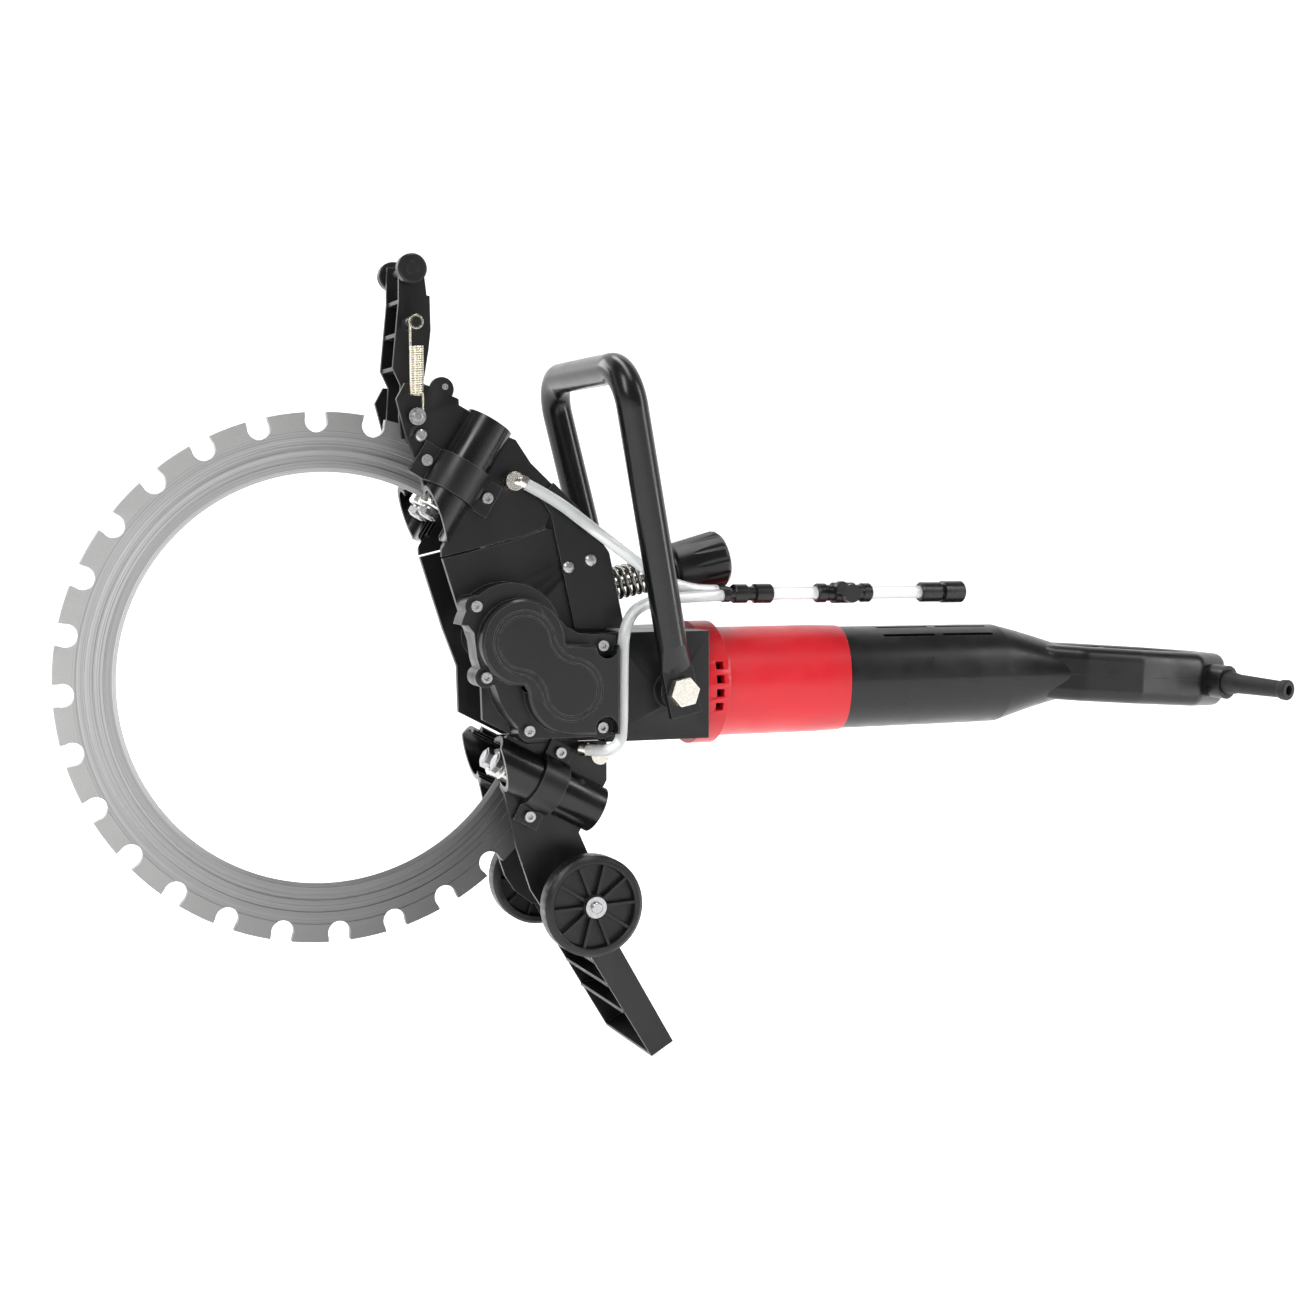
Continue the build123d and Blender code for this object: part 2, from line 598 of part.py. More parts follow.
def guard(outline, angle, cradle_end, holes):
    """Adds a near-side guard plate with its cradle; holes holds (x, z, radius)."""
    slab(outline, -PLATE_OUT, -PLATE_IN)
    tube_rod(angle, 119, cradle_end, 19)
    tube_rod(angle, 100, 215, TUBE_R + 0.1, Mode.SUBTRACT)
    slab(tube_box(angle, 100, 215, 40), -60, -PLATE_OUT, Mode.SUBTRACT)
    slab(tube_box(angle, 112, 175, 14), -PLATE_IN + 0.1, -10, Mode.SUBTRACT)
    slab(FRONT_OF_PLATE[angle], -60, -10, Mode.SUBTRACT)
    for x, z in clamp_screw_spots(angle):
        rod((x, -PLATE_OUT - 1, z), (x, -PLATE_IN + 1, z), 2.22, Mode.SUBTRACT)
    for x, z, radius in holes:
        rod((x, -PLATE_OUT - BOSS_RISE - 1, z), (x, -PLATE_IN + 1, z), radius, Mode.SUBTRACT)


SPRING_SCREW = (52.8, 171.2)
SPRING_Y = -36.6
UPPER_BARB = (116.9, 129.9)
LOWER_BARB = (174.4, -53.0)
PIN_R = 4.0
BOSS_RISE = 3.0
LUG = (70.9, 189.4)
LUG_PIN = (72.9, 191.0)
UPPER_PLATE = [
    (40.4, 182.5), (46.1, 192.9), (61.3, 191.8), (82.1, 183.3), (82.3, 179.3), (87.5, 176.5), (116.1, 159),
    (120.9, 157.1), (131.2, 142), (146, 128), (143.3, 107.6), (140.5, 99.2),
    (120.6, 92.4), (69.9, 80.2), (69.4, 92.6), (53, 142.6), (46.5, 159.4),
]
LOWER_PLATE = [
    (104.5, -44.8), (112.8, -82.3), (119.6, -113), (130, -144), (137, -155), (150, -165), (166, -166),
    (176, -158), (177, -145), (171.5, -123), (164.2, -106.7), (184.2, -72), (184.2, -44.8),
]
# The tubes and cradles end flush with the plates' front edges
FRONT_OF_PLATE = {
    UPPER_ANGLE: [(0, 200), *reversed(UPPER_PLATE[-3:]), (69.9, 60), (0, 60)],
    LOWER_ANGLE: [(60, -20), (98, -20), *LOWER_PLATE[:3], (60, -113)],
}

with BuildPart() as guard_upper_near:
    rod((LUG[0], -PLATE_OUT, LUG[1]), (LUG[0], -PLATE_IN, LUG[1]), 8)
    rod((ARM_PIVOT[0], -PLATE_OUT - BOSS_RISE, ARM_PIVOT[1]), (ARM_PIVOT[0], -PLATE_IN, ARM_PIVOT[1]), 7.4)
    guard(UPPER_PLATE, UPPER_ANGLE, 188, [
        (*ARM_PIVOT, PIN_R + 0.02), (*SPRING_SCREW, 2.62), (*UPPER_BARB, 4.02), (*LUG_PIN, 2.02),
    ])
keep(guard_upper_near, "guard_upper_near")
opposite(guard_upper_near, "guard_upper_far")

with BuildPart() as guard_lower_near:
    guard(LOWER_PLATE, LOWER_ANGLE, 188, [(*LOWER_BARB, 4.02)])
    rod((WHEEL[0], -PLATE_IN, WHEEL[1]), (WHEEL[0], -WHEEL_IN + 0.3, WHEEL[1]), 8)
    rod((WHEEL[0], -PLATE_IN + 1, WHEEL[1]), (WHEEL[0], -WHEEL_IN - 1, WHEEL[1]), PIN_R + 0.02, Mode.SUBTRACT)
keep(guard_lower_near, "guard_lower_near")
opposite(guard_lower_near, "guard_lower_far")


# --- Guide tubes: each holds one roller whose axle points at the ring's centre ---
def guide_tube(angle):
    """Adds a near-side guide tube, open towards the ring, with the cross web that holds the axle."""
    tube_rod(angle, TUBE_INNER, TUBE_OUTER, TUBE_R)
    tube_rod(angle, TUBE_INNER - 1, TUBE_OUTER - 3, TUBE_BORE, Mode.SUBTRACT)
    slab(tube_box(angle, TUBE_INNER - 1, 173, 12.5), -27, -15, Mode.SUBTRACT)
    slab(FRONT_OF_PLATE[angle], -60, -10, Mode.SUBTRACT)
    slab(tube_box(angle, 156.5, 168, 10), -47, -6.5)
    first, last = polar(155, angle), polar(170, angle)
    rod((first[0], -GUIDE_Y, first[1]), (last[0], -GUIDE_Y, last[1]), AXLE_R + 0.02, Mode.SUBTRACT)


for height, angle in (("upper", UPPER_ANGLE), ("lower", LOWER_ANGLE)):
    with BuildPart() as tube:
        guide_tube(angle)
    keep(tube, f"guide_tube_{height}_near")
    opposite(tube, f"guide_tube_{height}_far")
    with BuildPart() as guide_roller:
        rims = [(131.2, AXLE_R + 0.04), (131.2, 9), (132.2, GUIDE_R)]
        for low, high in TRACKS:
            middle = (low + high) / 2
            rims += [(middle - 1.3, GUIDE_R), (middle - 1, GUIDE_RIM_R)]
            rims += [(middle + 1, GUIDE_RIM_R), (middle + 1.3, GUIDE_R)]
        rims += [(155.2, GUIDE_R), (156, 9.2), (156, AXLE_R + 0.04)]
        turned((0, -GUIDE_Y, 0), radial(angle), rims)
    keep(guide_roller, f"guide_roller_{height}_near")
    opposite(guide_roller, f"guide_roller_{height}_far")

with BuildPart() as roller_axles:
    for angle in (UPPER_ANGLE, LOWER_ANGLE):
        for lip in (-1, 1):
            turned((0, lip * GUIDE_Y, 0), radial(angle), [
                (124, 0), (124, 5), (126, AXLE_R + 1.6), (130.8, AXLE_R + 1.6), (130.8, AXLE_R),
                (168.5, AXLE_R), (168.5, 0),
            ])
            head = polar(125, angle)
            with BuildSketch(Plane(origin=(head[0], lip * GUIDE_Y, head[1]), z_dir=radial(angle))):
                RegularPolygon(7.2, 6)
            extrude(amount=4.2)
keep(roller_axles, "roller_axles")

with BuildPart() as tube_clamps:
    for angle in (UPPER_ANGLE, LOWER_ANGLE):
        start, end = CLAMP_SPAN[angle]
        for lip in (-1, 1):
            foot = polar(start, angle)
            plane = Plane(
                origin=(foot[0], lip * TUBE_Y, foot[1]),
                x_dir=(sin(radians(angle)), 0, -cos(radians(angle))),
                z_dir=radial(angle),
            )
            seat = TUBE_Y - PLATE_OUT
            with BuildSketch(plane):
                Circle(TUBE_R + 2.8)
                with Locations((0, -lip * 30)):
                    Rectangle(60, 60 - 2 * seat + 0.4, mode=Mode.SUBTRACT)
                with Locations((0, -lip * (seat - 1.7))):
                    Rectangle(60, 3)
                Circle(TUBE_R + 0.12, mode=Mode.SUBTRACT)
            extrude(amount=end - start)
            for x, z in clamp_screw_spots(angle):
                rod((x, lip * 30, z), (x, lip * 40, z), 2.6, Mode.SUBTRACT)
keep(tube_clamps, "tube_clamps")


# --- Cap screws of the gear cover and the clamps, and the spring's screw ---
def cap_screw(x, y, z, lip, shank):
    """Adds a socket cap screw whose head stands out from y on one side."""
    rod((x, y, z), (x, y + lip * 3.6, z), 3.7)
    rod((x, y, z), (x, y - lip * shank, z), 2.2)
    with BuildSketch(side(y + lip * 3.6)) as socket:
        with Locations((x, z)):
            RegularPolygon(1.9, 6)
    extrude(socket.sketch, amount=2, mode=Mode.SUBTRACT, both=True)


with BuildPart() as case_screws:
    for x, z in COVER_SCREWS:
        cap_screw(x, -COVER_FLANGE, z, -1, 10)
    for angle in (UPPER_ANGLE, LOWER_ANGLE):
        for x, z in clamp_screw_spots(angle):
            for lip in (-1, 1):
                cap_screw(x, lip * (PLATE_OUT + 3.3), z, lip, 6)
    washer_y = SPRING_Y - 0.8
    spring_screw = [
        (-29, 0), (-29, 2.6), (washer_y, 2.6), (washer_y, 5.6), (washer_y - 1, 5.6), (washer_y - 1, 3.4),
        (washer_y - 3, 2.8), (washer_y - 3, 0),
    ]
    turned((SPRING_SCREW[0], 0, SPRING_SCREW[1]), ALONG_Y, spring_screw)
keep(case_screws, "case_screws")


# --- Tension bracket, rod, spring and knob ---
BRACKET = [(137, 119), (146, 129), (163, 113), (185, 82.6), (196, 31.5), (160.8, 31.5), (144.2, 107.5)]
RIVETS = [(155.8, 72.8), (171.5, 77.4)]
with BuildPart() as tension_bracket:
    for lip in (-1, 1):
        slab(BRACKET, lip * BRACKET_OUT, lip * (PLATE_OUT + 0.1))
    web = [inclined(WEB_AT, -9.5), inclined(WEB_AT + WEB_THICK, -9.5)]
    web += [inclined(WEB_AT + WEB_THICK, 42), inclined(WEB_AT, 42)]
    slab(web, -BRACKET_OUT, BRACKET_OUT)
    hole_start = inclined(WEB_AT - 1, TENSION_RISE)
    hole_end = inclined(WEB_AT + WEB_THICK + 1, TENSION_RISE)
    rod((hole_start[0], 0, hole_start[1]), (hole_end[0], 0, hole_end[1]), 4.3, Mode.SUBTRACT)
    for x, z in RIVETS:
        rod((x, -40, z), (x, 40, z), 2.62, Mode.SUBTRACT)
keep(tension_bracket, "tension_bracket")

with BuildPart() as bracket_rivets:
    for x, z in RIVETS:
        for lip in (-1, 1):
            turned((x, 0, z), (0, lip, 0), [
                (PLATE_OUT, 0), (PLATE_OUT, 2.6), (BRACKET_OUT, 2.6), (BRACKET_OUT, 4.4),
                (BRACKET_OUT + 1.6, 3.8), (BRACKET_OUT + 2.4, 2.4), (BRACKET_OUT + 2.6, 0),
            ])
    for lip in (-1, 1):
        rod((LUG_PIN[0], lip * PLATE_IN, LUG_PIN[1]), (LUG_PIN[0], lip * (PLATE_OUT + 0.8), LUG_PIN[1]), 2)
keep(bracket_rivets, "bracket_rivets")

TENSION_LINE = (inclined(0, TENSION_RISE)[0], 0, inclined(0, TENSION_RISE)[1])
ALONG_TENSION = radial(DRIVE_ANGLE)
with BuildPart() as tension_rod:
    turned(TENSION_LINE, ALONG_TENSION, [
        (184, 0), (184, 3.5), (184.6, 4), (277, 4), (277, 0),
    ])
keep(tension_rod, "tension_rod")

with BuildPart() as tension_washer:
    turned(TENSION_LINE, ALONG_TENSION, [
        (KNOB_AT - 3.4, 4.05), (KNOB_AT - 3.4, 11.6), (KNOB_AT - 0.3, 11.6), (KNOB_AT - 0.3, 4.05),
    ])
keep(tension_washer, "tension_washer")

SPRING_COIL_R = 10.2
with BuildPart() as tension_spring:
    coil_start = WEB_AT + WEB_THICK + 1.65
    foot = inclined(coil_start, TENSION_RISE)
    coil_at = (foot[0], 0, foot[1])
    with BuildLine() as coil:
        Helix(pitch=4.7, height=47, radius=SPRING_COIL_R, center=coil_at, direction=ALONG_TENSION)
    with BuildSketch(Plane(origin=coil.line @ 0, z_dir=coil.line % 0)):
        Circle(1.6)
    sweep(is_frenet=True)
keep(tension_spring, "tension_spring")

with BuildPart() as tension_knob:
    turned(TENSION_LINE, ALONG_TENSION, [
        (KNOB_AT, 4.05), (KNOB_AT, 16), (KNOB_AT + 2, 18), (KNOB_AT + KNOB_LONG - 3, 20),
        (KNOB_AT + KNOB_LONG, 17.5), (KNOB_AT + KNOB_LONG, 0), (KNOB_AT + 32, 0), (KNOB_AT + 32, 4.05),
    ])
    knob_end = inclined(KNOB_AT + 5, TENSION_RISE)
    with BuildSketch(Plane(origin=(knob_end[0], 0, knob_end[1]), x_dir=ALONG_Y, z_dir=ALONG_TENSION)):
        with PolarLocations(22.2, 12):
            Circle(3.6)
    extrude(amount=KNOB_LONG, mode=Mode.SUBTRACT)
keep(tension_knob, "tension_knob")


# --- Motor housing: red shell with a vented flange, its rear edge swept back round an upright cylinder ---
def swept_back(start, end, radius):
    """Cuts away all between two X values that lies outside an upright cylinder."""
    with BuildSketch(Plane.XY.offset(-80)) as outside:
        with Locations(((start + end) / 2, 0)):
            Rectangle(end - start, 120)
        with Locations((SWEEP_X, 0)):
            Circle(radius, mode=Mode.SUBTRACT)
    extrude(outside.sketch, amount=160, mode=Mode.SUBTRACT)


SWEEP_X = MOTOR_BACK - BACK_SWEEP
STATOR_SEAT = 35.02
with BuildPart() as motor_housing:
    turned(MOTOR_LINE, ALONG_X, [
        (CASE_BACK, 35.6), (CASE_BACK, FLANGE_R), (270, FLANGE_R), (271.2, MOTOR_R + 0.6), (274, MOTOR_R),
        (350, MOTOR_R), (MOTOR_BACK + 4, MOTOR_R - 0.8), (MOTOR_BACK + 4, 35.9), (346, 35.9),
        (346, STATOR_SEAT), (290, STATOR_SEAT), (290, 35.6),
    ])
    swept_back(SWEEP_X, MOTOR_BACK + 10, BACK_SWEEP)
    for lip in (-90, 90):
        with BuildSketch(Plane(origin=(260.5, 0, MOTOR_Z), x_dir=(0, 1, 0), z_dir=ALONG_X)) as vents:
            with PolarLocations(40, 4, start_angle=lip + 90 - 19.4, angular_range=51.6):
                Rectangle(10, 5.5)
        extrude(vents.sketch, amount=5.5, mode=Mode.SUBTRACT)
keep(motor_housing, "motor_housing")


# --- Rear housing: two shells that meet on a lengthwise joint, ending in a closed D-handle ---
HANDLE_MID = (570.0, -10.65)
BRUSH_X = 376.0
NECK_START = 498.0
NECK_R = REAR_R - 0.4
LEAN = radians(HANDLE_TILT)


def handle_z(x):
    """Height of the D-handle's mid-plane."""
    return HANDLE_MID[1] - (x - HANDLE_MID[0]) * tan(LEAN)


D_OUTER = [(524, 30), (552, 46), (600, 50), (655, 46), (694, 22)]
D_INNER = [(560, 20), (604, 27), (650, 24), (664, 10)]
SLEEVE_ROOT = (668.0, -38.0, handle_z(668.0))
SLEEVE_DIR = (0.34, -0.939, -0.05)


def along_sleeve(distance):
    """Point on the cord sleeve's axis."""
    return tuple(start + distance * step for start, step in zip(SLEEVE_ROOT, SLEEVE_DIR))


def loop_outline(half, radius):
    """Closed rounded outline, mirrored about the X axis."""
    points = half + [(x, -y) for x, y in reversed(half)]
    FilletPolyline(*points, radius=radius, close=True)


handle_plane = Plane(
    origin=(0, 0, handle_z(0)), x_dir=(cos(LEAN), 0, -sin(LEAN)), z_dir=(sin(LEAN), 0, cos(LEAN))
)
with BuildPart() as rear_body:
    with BuildSketch(handle_plane.offset(-20)) as loop:
        with BuildLine():
            loop_outline(D_OUTER, 16)
        make_face()
        with BuildLine():
            loop_outline(D_INNER, 8)
        make_face(mode=Mode.SUBTRACT)
    extrude(loop.sketch, amount=40)
    level = rear_body.faces().filter_by(lambda face: abs(face.normal_at().Z) > 0.9)
    fillet(level.edges(), 9)
    turned(MOTOR_LINE, ALONG_X, [
        (340, 0), (340, REAR_R + 0.6), (470, REAR_R), (NECK_START, NECK_R), (NECK_START, 0),
    ])
    neck = []
    for x, z, wide, high in (
        (NECK_START, MOTOR_Z, NECK_R, NECK_R), (522, MOTOR_Z + 0.6, 37.5, 29), (556, handle_z(556), 45, 19),
    ):
        with BuildSketch(Plane(origin=(x, 0, z), x_dir=(0, 1, 0), z_dir=ALONG_X)) as section:
            if wide == high:
                Circle(wide)
            else:
                Ellipse(wide, high)
        neck.append(section.sketch)
    loft(neck)
    with BuildSketch(handle_plane.offset(-30)) as opening:
        with BuildLine():
            loop_outline(D_INNER, 8)
        make_face()
    extrude(opening.sketch, amount=60, mode=Mode.SUBTRACT)
    rod(along_sleeve(-8), along_sleeve(14), 12.5)
    with Locations((SWEEP_X, 0, MOTOR_Z)):
        Cylinder(BACK_SWEEP + 0.3, 160, mode=Mode.SUBTRACT)
    rod((340, 0, MOTOR_Z), (496, 0, MOTOR_Z), REAR_R - 2.6, Mode.SUBTRACT)
    with BuildSketch(Plane(origin=(394, 0, MOTOR_Z), x_dir=(0, 1, 0), z_dir=ALONG_X)) as bearing_web:
        Circle(REAR_R - 2)
        Circle(BEARING_R + 0.02, mode=Mode.SUBTRACT)
        with PolarLocations(24.5, 6, start_angle=30):
            Circle(5, mode=Mode.SUBTRACT)
    extrude(bearing_web.sketch, amount=BEARING_WIDTH)
    for start, end in ((-REAR_R + 1.5, -19), (19, REAR_R - 1.5)):
        brick((BRUSH_X - 8, start, MOTOR_Z - 7), (BRUSH_X + 8, end, MOTOR_Z + 7))
    brick((BRUSH_X - 4.02, -33, MOTOR_Z - 3.22), (BRUSH_X + 4.02, 33, MOTOR_Z + 3.22), Mode.SUBTRACT)
    for turn in (-33, -12, 12, 33):
        for start in (398, 446):
            slot_at = (start, REAR_R * sin(radians(turn)), MOTOR_Z + REAR_R * cos(radians(turn)))
            outward = (0, sin(radians(turn)), cos(radians(turn)))
            with BuildSketch(Plane(origin=slot_at, x_dir=ALONG_X, z_dir=outward)) as vent:
                with Locations((22, 0)):
                    SlotOverall(42, 3)
            extrude(vent.sketch, amount=8, both=True, mode=Mode.SUBTRACT)
    with BuildSketch(handle_plane.offset(-11)) as wire_way:
        with Locations((512, 24)):
            Rectangle(60, 10)
        with Locations((580, 36.5)):
            Rectangle(80, 17)
        with Locations((652, 32)):
            Rectangle(70, 8, rotation=-8)
    extrude(wire_way.sketch, amount=21, mode=Mode.SUBTRACT)
    rod(along_sleeve(-2), along_sleeve(15), 9.5, Mode.SUBTRACT)
    rod(along_sleeve(-22), along_sleeve(0), 5, Mode.SUBTRACT)
    brick((566.3, 15, -11), (611.7, 31.4, 6), Mode.SUBTRACT)

JOINT_BEND = HANDLE_MID[0] - (MOTOR_Z - HANDLE_MID[1]) / tan(LEAN)
for name, edge in (("top", 60), ("bottom", -80)):
    with BuildPart() as shell:
        add(rear_body.part)
        with BuildSketch(side(80)) as half:
            with BuildLine():
                Polyline(
                    (340, MOTOR_Z), (JOINT_BEND, MOTOR_Z), (730, handle_z(730)), (730, edge), (340, edge),
                    close=True,
                )
            make_face()
        extrude(half.sketch, amount=160, mode=Mode.INTERSECT)
    keep(shell, f"rear_housing_{name}")

with BuildPart() as switch_body:
    with BuildSketch(handle_plane.offset(-10.5)) as switch_outline:
        with Locations((590, 38.3)):
            RectangleRounded(50, 13, 2)
    extrude(switch_outline.sketch, amount=20)
keep(switch_body, "switch_body")

TRIGGER = [(567, 27.2), (567, 20), (574, 15.5), (604, 15.5), (611, 20), (611, 27.2)]
with BuildPart() as trigger:
    with BuildSketch(Plane.XY.offset(-10)) as paddle:
        with BuildLine():
            FilletPolyline(*TRIGGER, radius=3, close=True)
        make_face()
    extrude(paddle.sketch, amount=15)
keep(trigger, "trigger")

with BuildPart() as carbon_brushes:
    for start, end in ((-30, -14.1), (14.1, 30)):
        brick((BRUSH_X - 4, start, MOTOR_Z - 3.2), (BRUSH_X + 4, end, MOTOR_Z + 3.2))
keep(carbon_brushes, "carbon_brushes")

SLEEVE_LONG = 66.0
CORD_BORE = 3.8
with BuildPart() as cord_sleeve:
    turned(SLEEVE_ROOT, SLEEVE_DIR, [
        (0.5, CORD_BORE), (0.5, 9.4), (13, 9.4), (16, 8.8), (24, 7.2), (SLEEVE_LONG - 8, 6.2),
        (SLEEVE_LONG - 5, 7.4), (SLEEVE_LONG - 1, 7.6), (SLEEVE_LONG, 7), (SLEEVE_LONG, CORD_BORE),
    ])
keep(cord_sleeve, "cord_sleeve")


# --- Front handle: bent tube with flattened feet, bolted through the gear case bosses ---
BAIL_LEAN = (BOLT_X - BAIL_FRONT) / (BAIL_TOP - BOLT_Z)
BAIL_LEG = 187.0
SHOULDER = 207.0
BAIL_FOOT = 236.0
bail_down = Vector(BAIL_LEAN, 0, -1).normalized()
bail_plane = Plane(origin=(BAIL_FRONT, 0, BAIL_TOP), x_dir=ALONG_Y, z_dir=(-bail_down.Z, 0, bail_down.X))


def bail_level(along, across, direction):
    """Plane across a leg, from distances down the hoop and sideways."""
    middle = Vector(BAIL_FRONT, across, BAIL_TOP) + bail_down * along
    return Plane(origin=middle, x_dir=ALONG_X, z_dir=direction)


with BuildPart() as front_handle:
    with BuildLine(bail_plane) as bail:
        FilletPolyline(
            (-BAIL_FOOT_Y - 1, -BAIL_LEG), (-BAIL_Y, 0), (BAIL_Y, 0), (BAIL_FOOT_Y + 1, -BAIL_LEG), radius=24
        )
    with BuildSketch(Plane(origin=bail.line @ 0, z_dir=bail.line % 0)) as tube_section:
        Circle(BAIL_R)
        Circle(BAIL_R - 2.5, mode=Mode.SUBTRACT)
    sweep(tube_section.sketch, path=bail.line)
    for lip in (-1, 1):
        leg_down = (bail_down * BAIL_LEG + Vector(0, lip * (BAIL_FOOT_Y + 1 - BAIL_Y), 0)).normalized()
        with BuildSketch(bail_level(BAIL_LEG, lip * (BAIL_FOOT_Y + 1), leg_down)) as leg_end:
            Circle(BAIL_R)
        with BuildSketch(bail_level(SHOULDER, lip * BAIL_FOOT_Y, bail_down)) as shoulder:
            Ellipse(10.8, 2.3)
        loft([leg_end.sketch, shoulder.sketch])
        with BuildSketch(bail_level(SHOULDER - 3, lip * BAIL_FOOT_Y, bail_down)) as tongue:
            Rectangle(22, 5)
        extrude(tongue.sketch, amount=BAIL_FOOT - SHOULDER + 3)
        bolt_y = lip * BAIL_FOOT_Y
        rod((BOLT_X, bolt_y - 4, BOLT_Z), (BOLT_X, bolt_y + 4, BOLT_Z), 5.02, Mode.SUBTRACT)
keep(front_handle, "front_handle")

with BuildPart() as handle_bolts:
    for lip in (-1, 1):
        with BuildSketch(side(lip * (BAIL_FOOT_Y + 2.6))) as hex_head:
            with Locations((BOLT_X, BOLT_Z)):
                RegularPolygon(9, 6, major_radius=False, rotation=12)
        extrude(hex_head.sketch, amount=-lip * 7)
        rod((BOLT_X, lip * 46, BOLT_Z), (BOLT_X, lip * (BAIL_FOOT_Y + 3), BOLT_Z), 5)
keep(handle_bolts, "handle_bolts")


# --- Swinging arm with its rollers and spring ---
ARM_LEFT = [(47, 157), (45.3, 172), (46.6, 192), (41.4, 203), (45.8, 247), (45.9, 262), (46.5, 272)]
ARM_RIGHT = [
    (58.5, 272), (63.3, 262), (64.6, 251), (66.6, 250.7), (67.1, 228.6), (65.6, 215.5), (61.4, 190.7),
    (62.5, 158),
]
ARM_WEB = [
    (61.4, 192), (65.6, 215.5), (67.1, 228.6), (66.6, 250.7), (64, 250.7), (64.5, 229), (63, 216),
    (58.8, 193),
]
ARM_STUD = (52.6, 232.0)
with BuildPart() as guard_arm:
    for lip in (-1, 1):
        slab(ARM_LEFT + ARM_RIGHT, lip * ARM_OUT, lip * (ARM_OUT - ARM_THICK))
        rod((ARM_PIVOT[0], lip * 15.8, ARM_PIVOT[1]), (ARM_PIVOT[0], lip * 27.5, ARM_PIVOT[1]), 7)
    slab(ARM_WEB, -16, 16)
    for x, z in ((47, 247), (44.5, 225), (42.5, 203)):
        brick((x, -16, z - 1.2), (64, 16, z + 1.2))
    rod((ARM_STUD[0], -16, ARM_STUD[1]), (ARM_STUD[0], SPRING_Y - 1.6, ARM_STUD[1]), 3.3)
    rod((ARM_STUD[0], -16, ARM_STUD[1]), (ARM_STUD[0], -31, ARM_STUD[1]), 4.5)
    for spot in (ARM_PIVOT, ARM_TIP):
        radius = PIN_R + 0.05 if spot == ARM_PIVOT else 3.02
        rod((spot[0], -40, spot[1]), (spot[0], 40, spot[1]), radius, Mode.SUBTRACT)
keep(guard_arm, "guard_arm")

with BuildPart() as arm_rollers:
    tip = (ARM_TIP[0], 0, ARM_TIP[1])
    turned(tip, ALONG_Y, [
        (-31, 0), (-31, 4), (-30, 4.6), (-30, 8.6), (-29, 9.7), (-22.6, 9.7), (-22, 9), (-22, 5), (-19, 5),
        (-19, 3), (19, 3), (19, 5), (22, 5), (22, 9), (22.6, 9.7), (29, 9.7), (30, 8.6), (30, 4.6), (31, 4),
        (31, 0),
    ])
keep(arm_rollers, "arm_rollers")

COIL_R = 4.0
COIL_TURNS = 21
COIL_PITCH = 1.48
WIRE_R = 0.65
EYE_R = 4.8
with BuildPart() as arm_spring:
    low = Vector(SPRING_SCREW[0], SPRING_Y, SPRING_SCREW[1])
    high = Vector(ARM_STUD[0], SPRING_Y, ARM_STUD[1])
    up = (high - low).normalized()
    coil_foot = low + up * 13.9
    coil_top = coil_foot + up * (COIL_TURNS * COIL_PITCH)
    with BuildLine() as arm_coil:
        Helix(pitch=COIL_PITCH, height=COIL_TURNS * COIL_PITCH, radius=COIL_R, center=coil_foot, direction=up)
    with BuildSketch(Plane(origin=arm_coil.line @ 0, z_dir=arm_coil.line % 0)) as wire:
        Circle(WIRE_R)
    sweep(wire.sketch, path=arm_coil.line, is_frenet=True)
    across = Vector(COIL_R, 0, 0)
    for eye_at, coil_end, inward in ((low, coil_foot, up * 2), (high, coil_top, up * -2)):
        leg = across if eye_at == low else across * -1
        with BuildSketch(side(SPRING_Y + WIRE_R + 0.1)) as eye:
            with Locations((eye_at.X, eye_at.Z)):
                Circle(EYE_R)
                Circle(EYE_R - 2 * WIRE_R, mode=Mode.SUBTRACT)
        extrude(eye.sketch, amount=2 * WIRE_R + 0.2)
        rod(tuple(eye_at + leg), tuple(coil_end + leg + inward), WIRE_R + 0.05)
keep(arm_spring, "arm_spring")

pin_end = PLATE_OUT + BOSS_RISE + 1
with BuildPart() as pivot_pins:
    for lip in (-1, 1):
        turned((ARM_PIVOT[0], 0, ARM_PIVOT[1]), (0, lip, 0), [
            (13, 0), (13, PIN_R), (pin_end - 1.2, PIN_R), (pin_end, PIN_R - 1.2), (pin_end, 0),
        ])
    axle_end = WHEEL_OUT + 0.6
    turned((WHEEL[0], 0, WHEEL[1]), ALONG_Y, [
        (-axle_end - 4, 0), (-axle_end - 4, 3), (-axle_end - 3.2, 3.8), (-axle_end - 1.2, 3.8),
        (-axle_end - 1.2, 7.2), (-axle_end, 7.2), (-axle_end, PIN_R), (axle_end, PIN_R), (axle_end, 7.2),
        (axle_end + 1.2, 7.2), (axle_end + 1.2, 3.8), (axle_end + 3.2, 3.8), (axle_end + 4, 3),
        (axle_end + 4, 0),
    ])
keep(pivot_pins, "pivot_pins")


# --- Wheels and wedge guard on the lower axle ---
with BuildPart() as wheel_near:
    centre = (WHEEL[0], 0, WHEEL[1])
    turned(centre, ALONG_Y, [
        (-WHEEL_OUT, PIN_R + 0.05), (-WHEEL_OUT, 8), (-WHEEL_OUT + 3, 8.6), (-63, 9), (-63, 27.6),
        (-WHEEL_OUT + 1, 28.2), (-WHEEL_OUT + 0.4, 29), (-WHEEL_OUT + 0.4, 31.4), (-WHEEL_OUT + 2.6, WHEEL_R),
        (-WHEEL_IN - 2, WHEEL_R), (-WHEEL_IN, 32), (-WHEEL_IN, 28.5), (-60, 27.6), (-60, 9), (-WHEEL_IN, 8),
        (-WHEEL_IN, PIN_R + 0.05),
    ])
    with BuildSketch(side(-56)) as spokes:
        with Locations(WHEEL):
            with PolarLocations(18, WHEEL_SPOKES, start_angle=3):
                Rectangle(21, 2)
    extrude(spokes.sketch, amount=11.4)
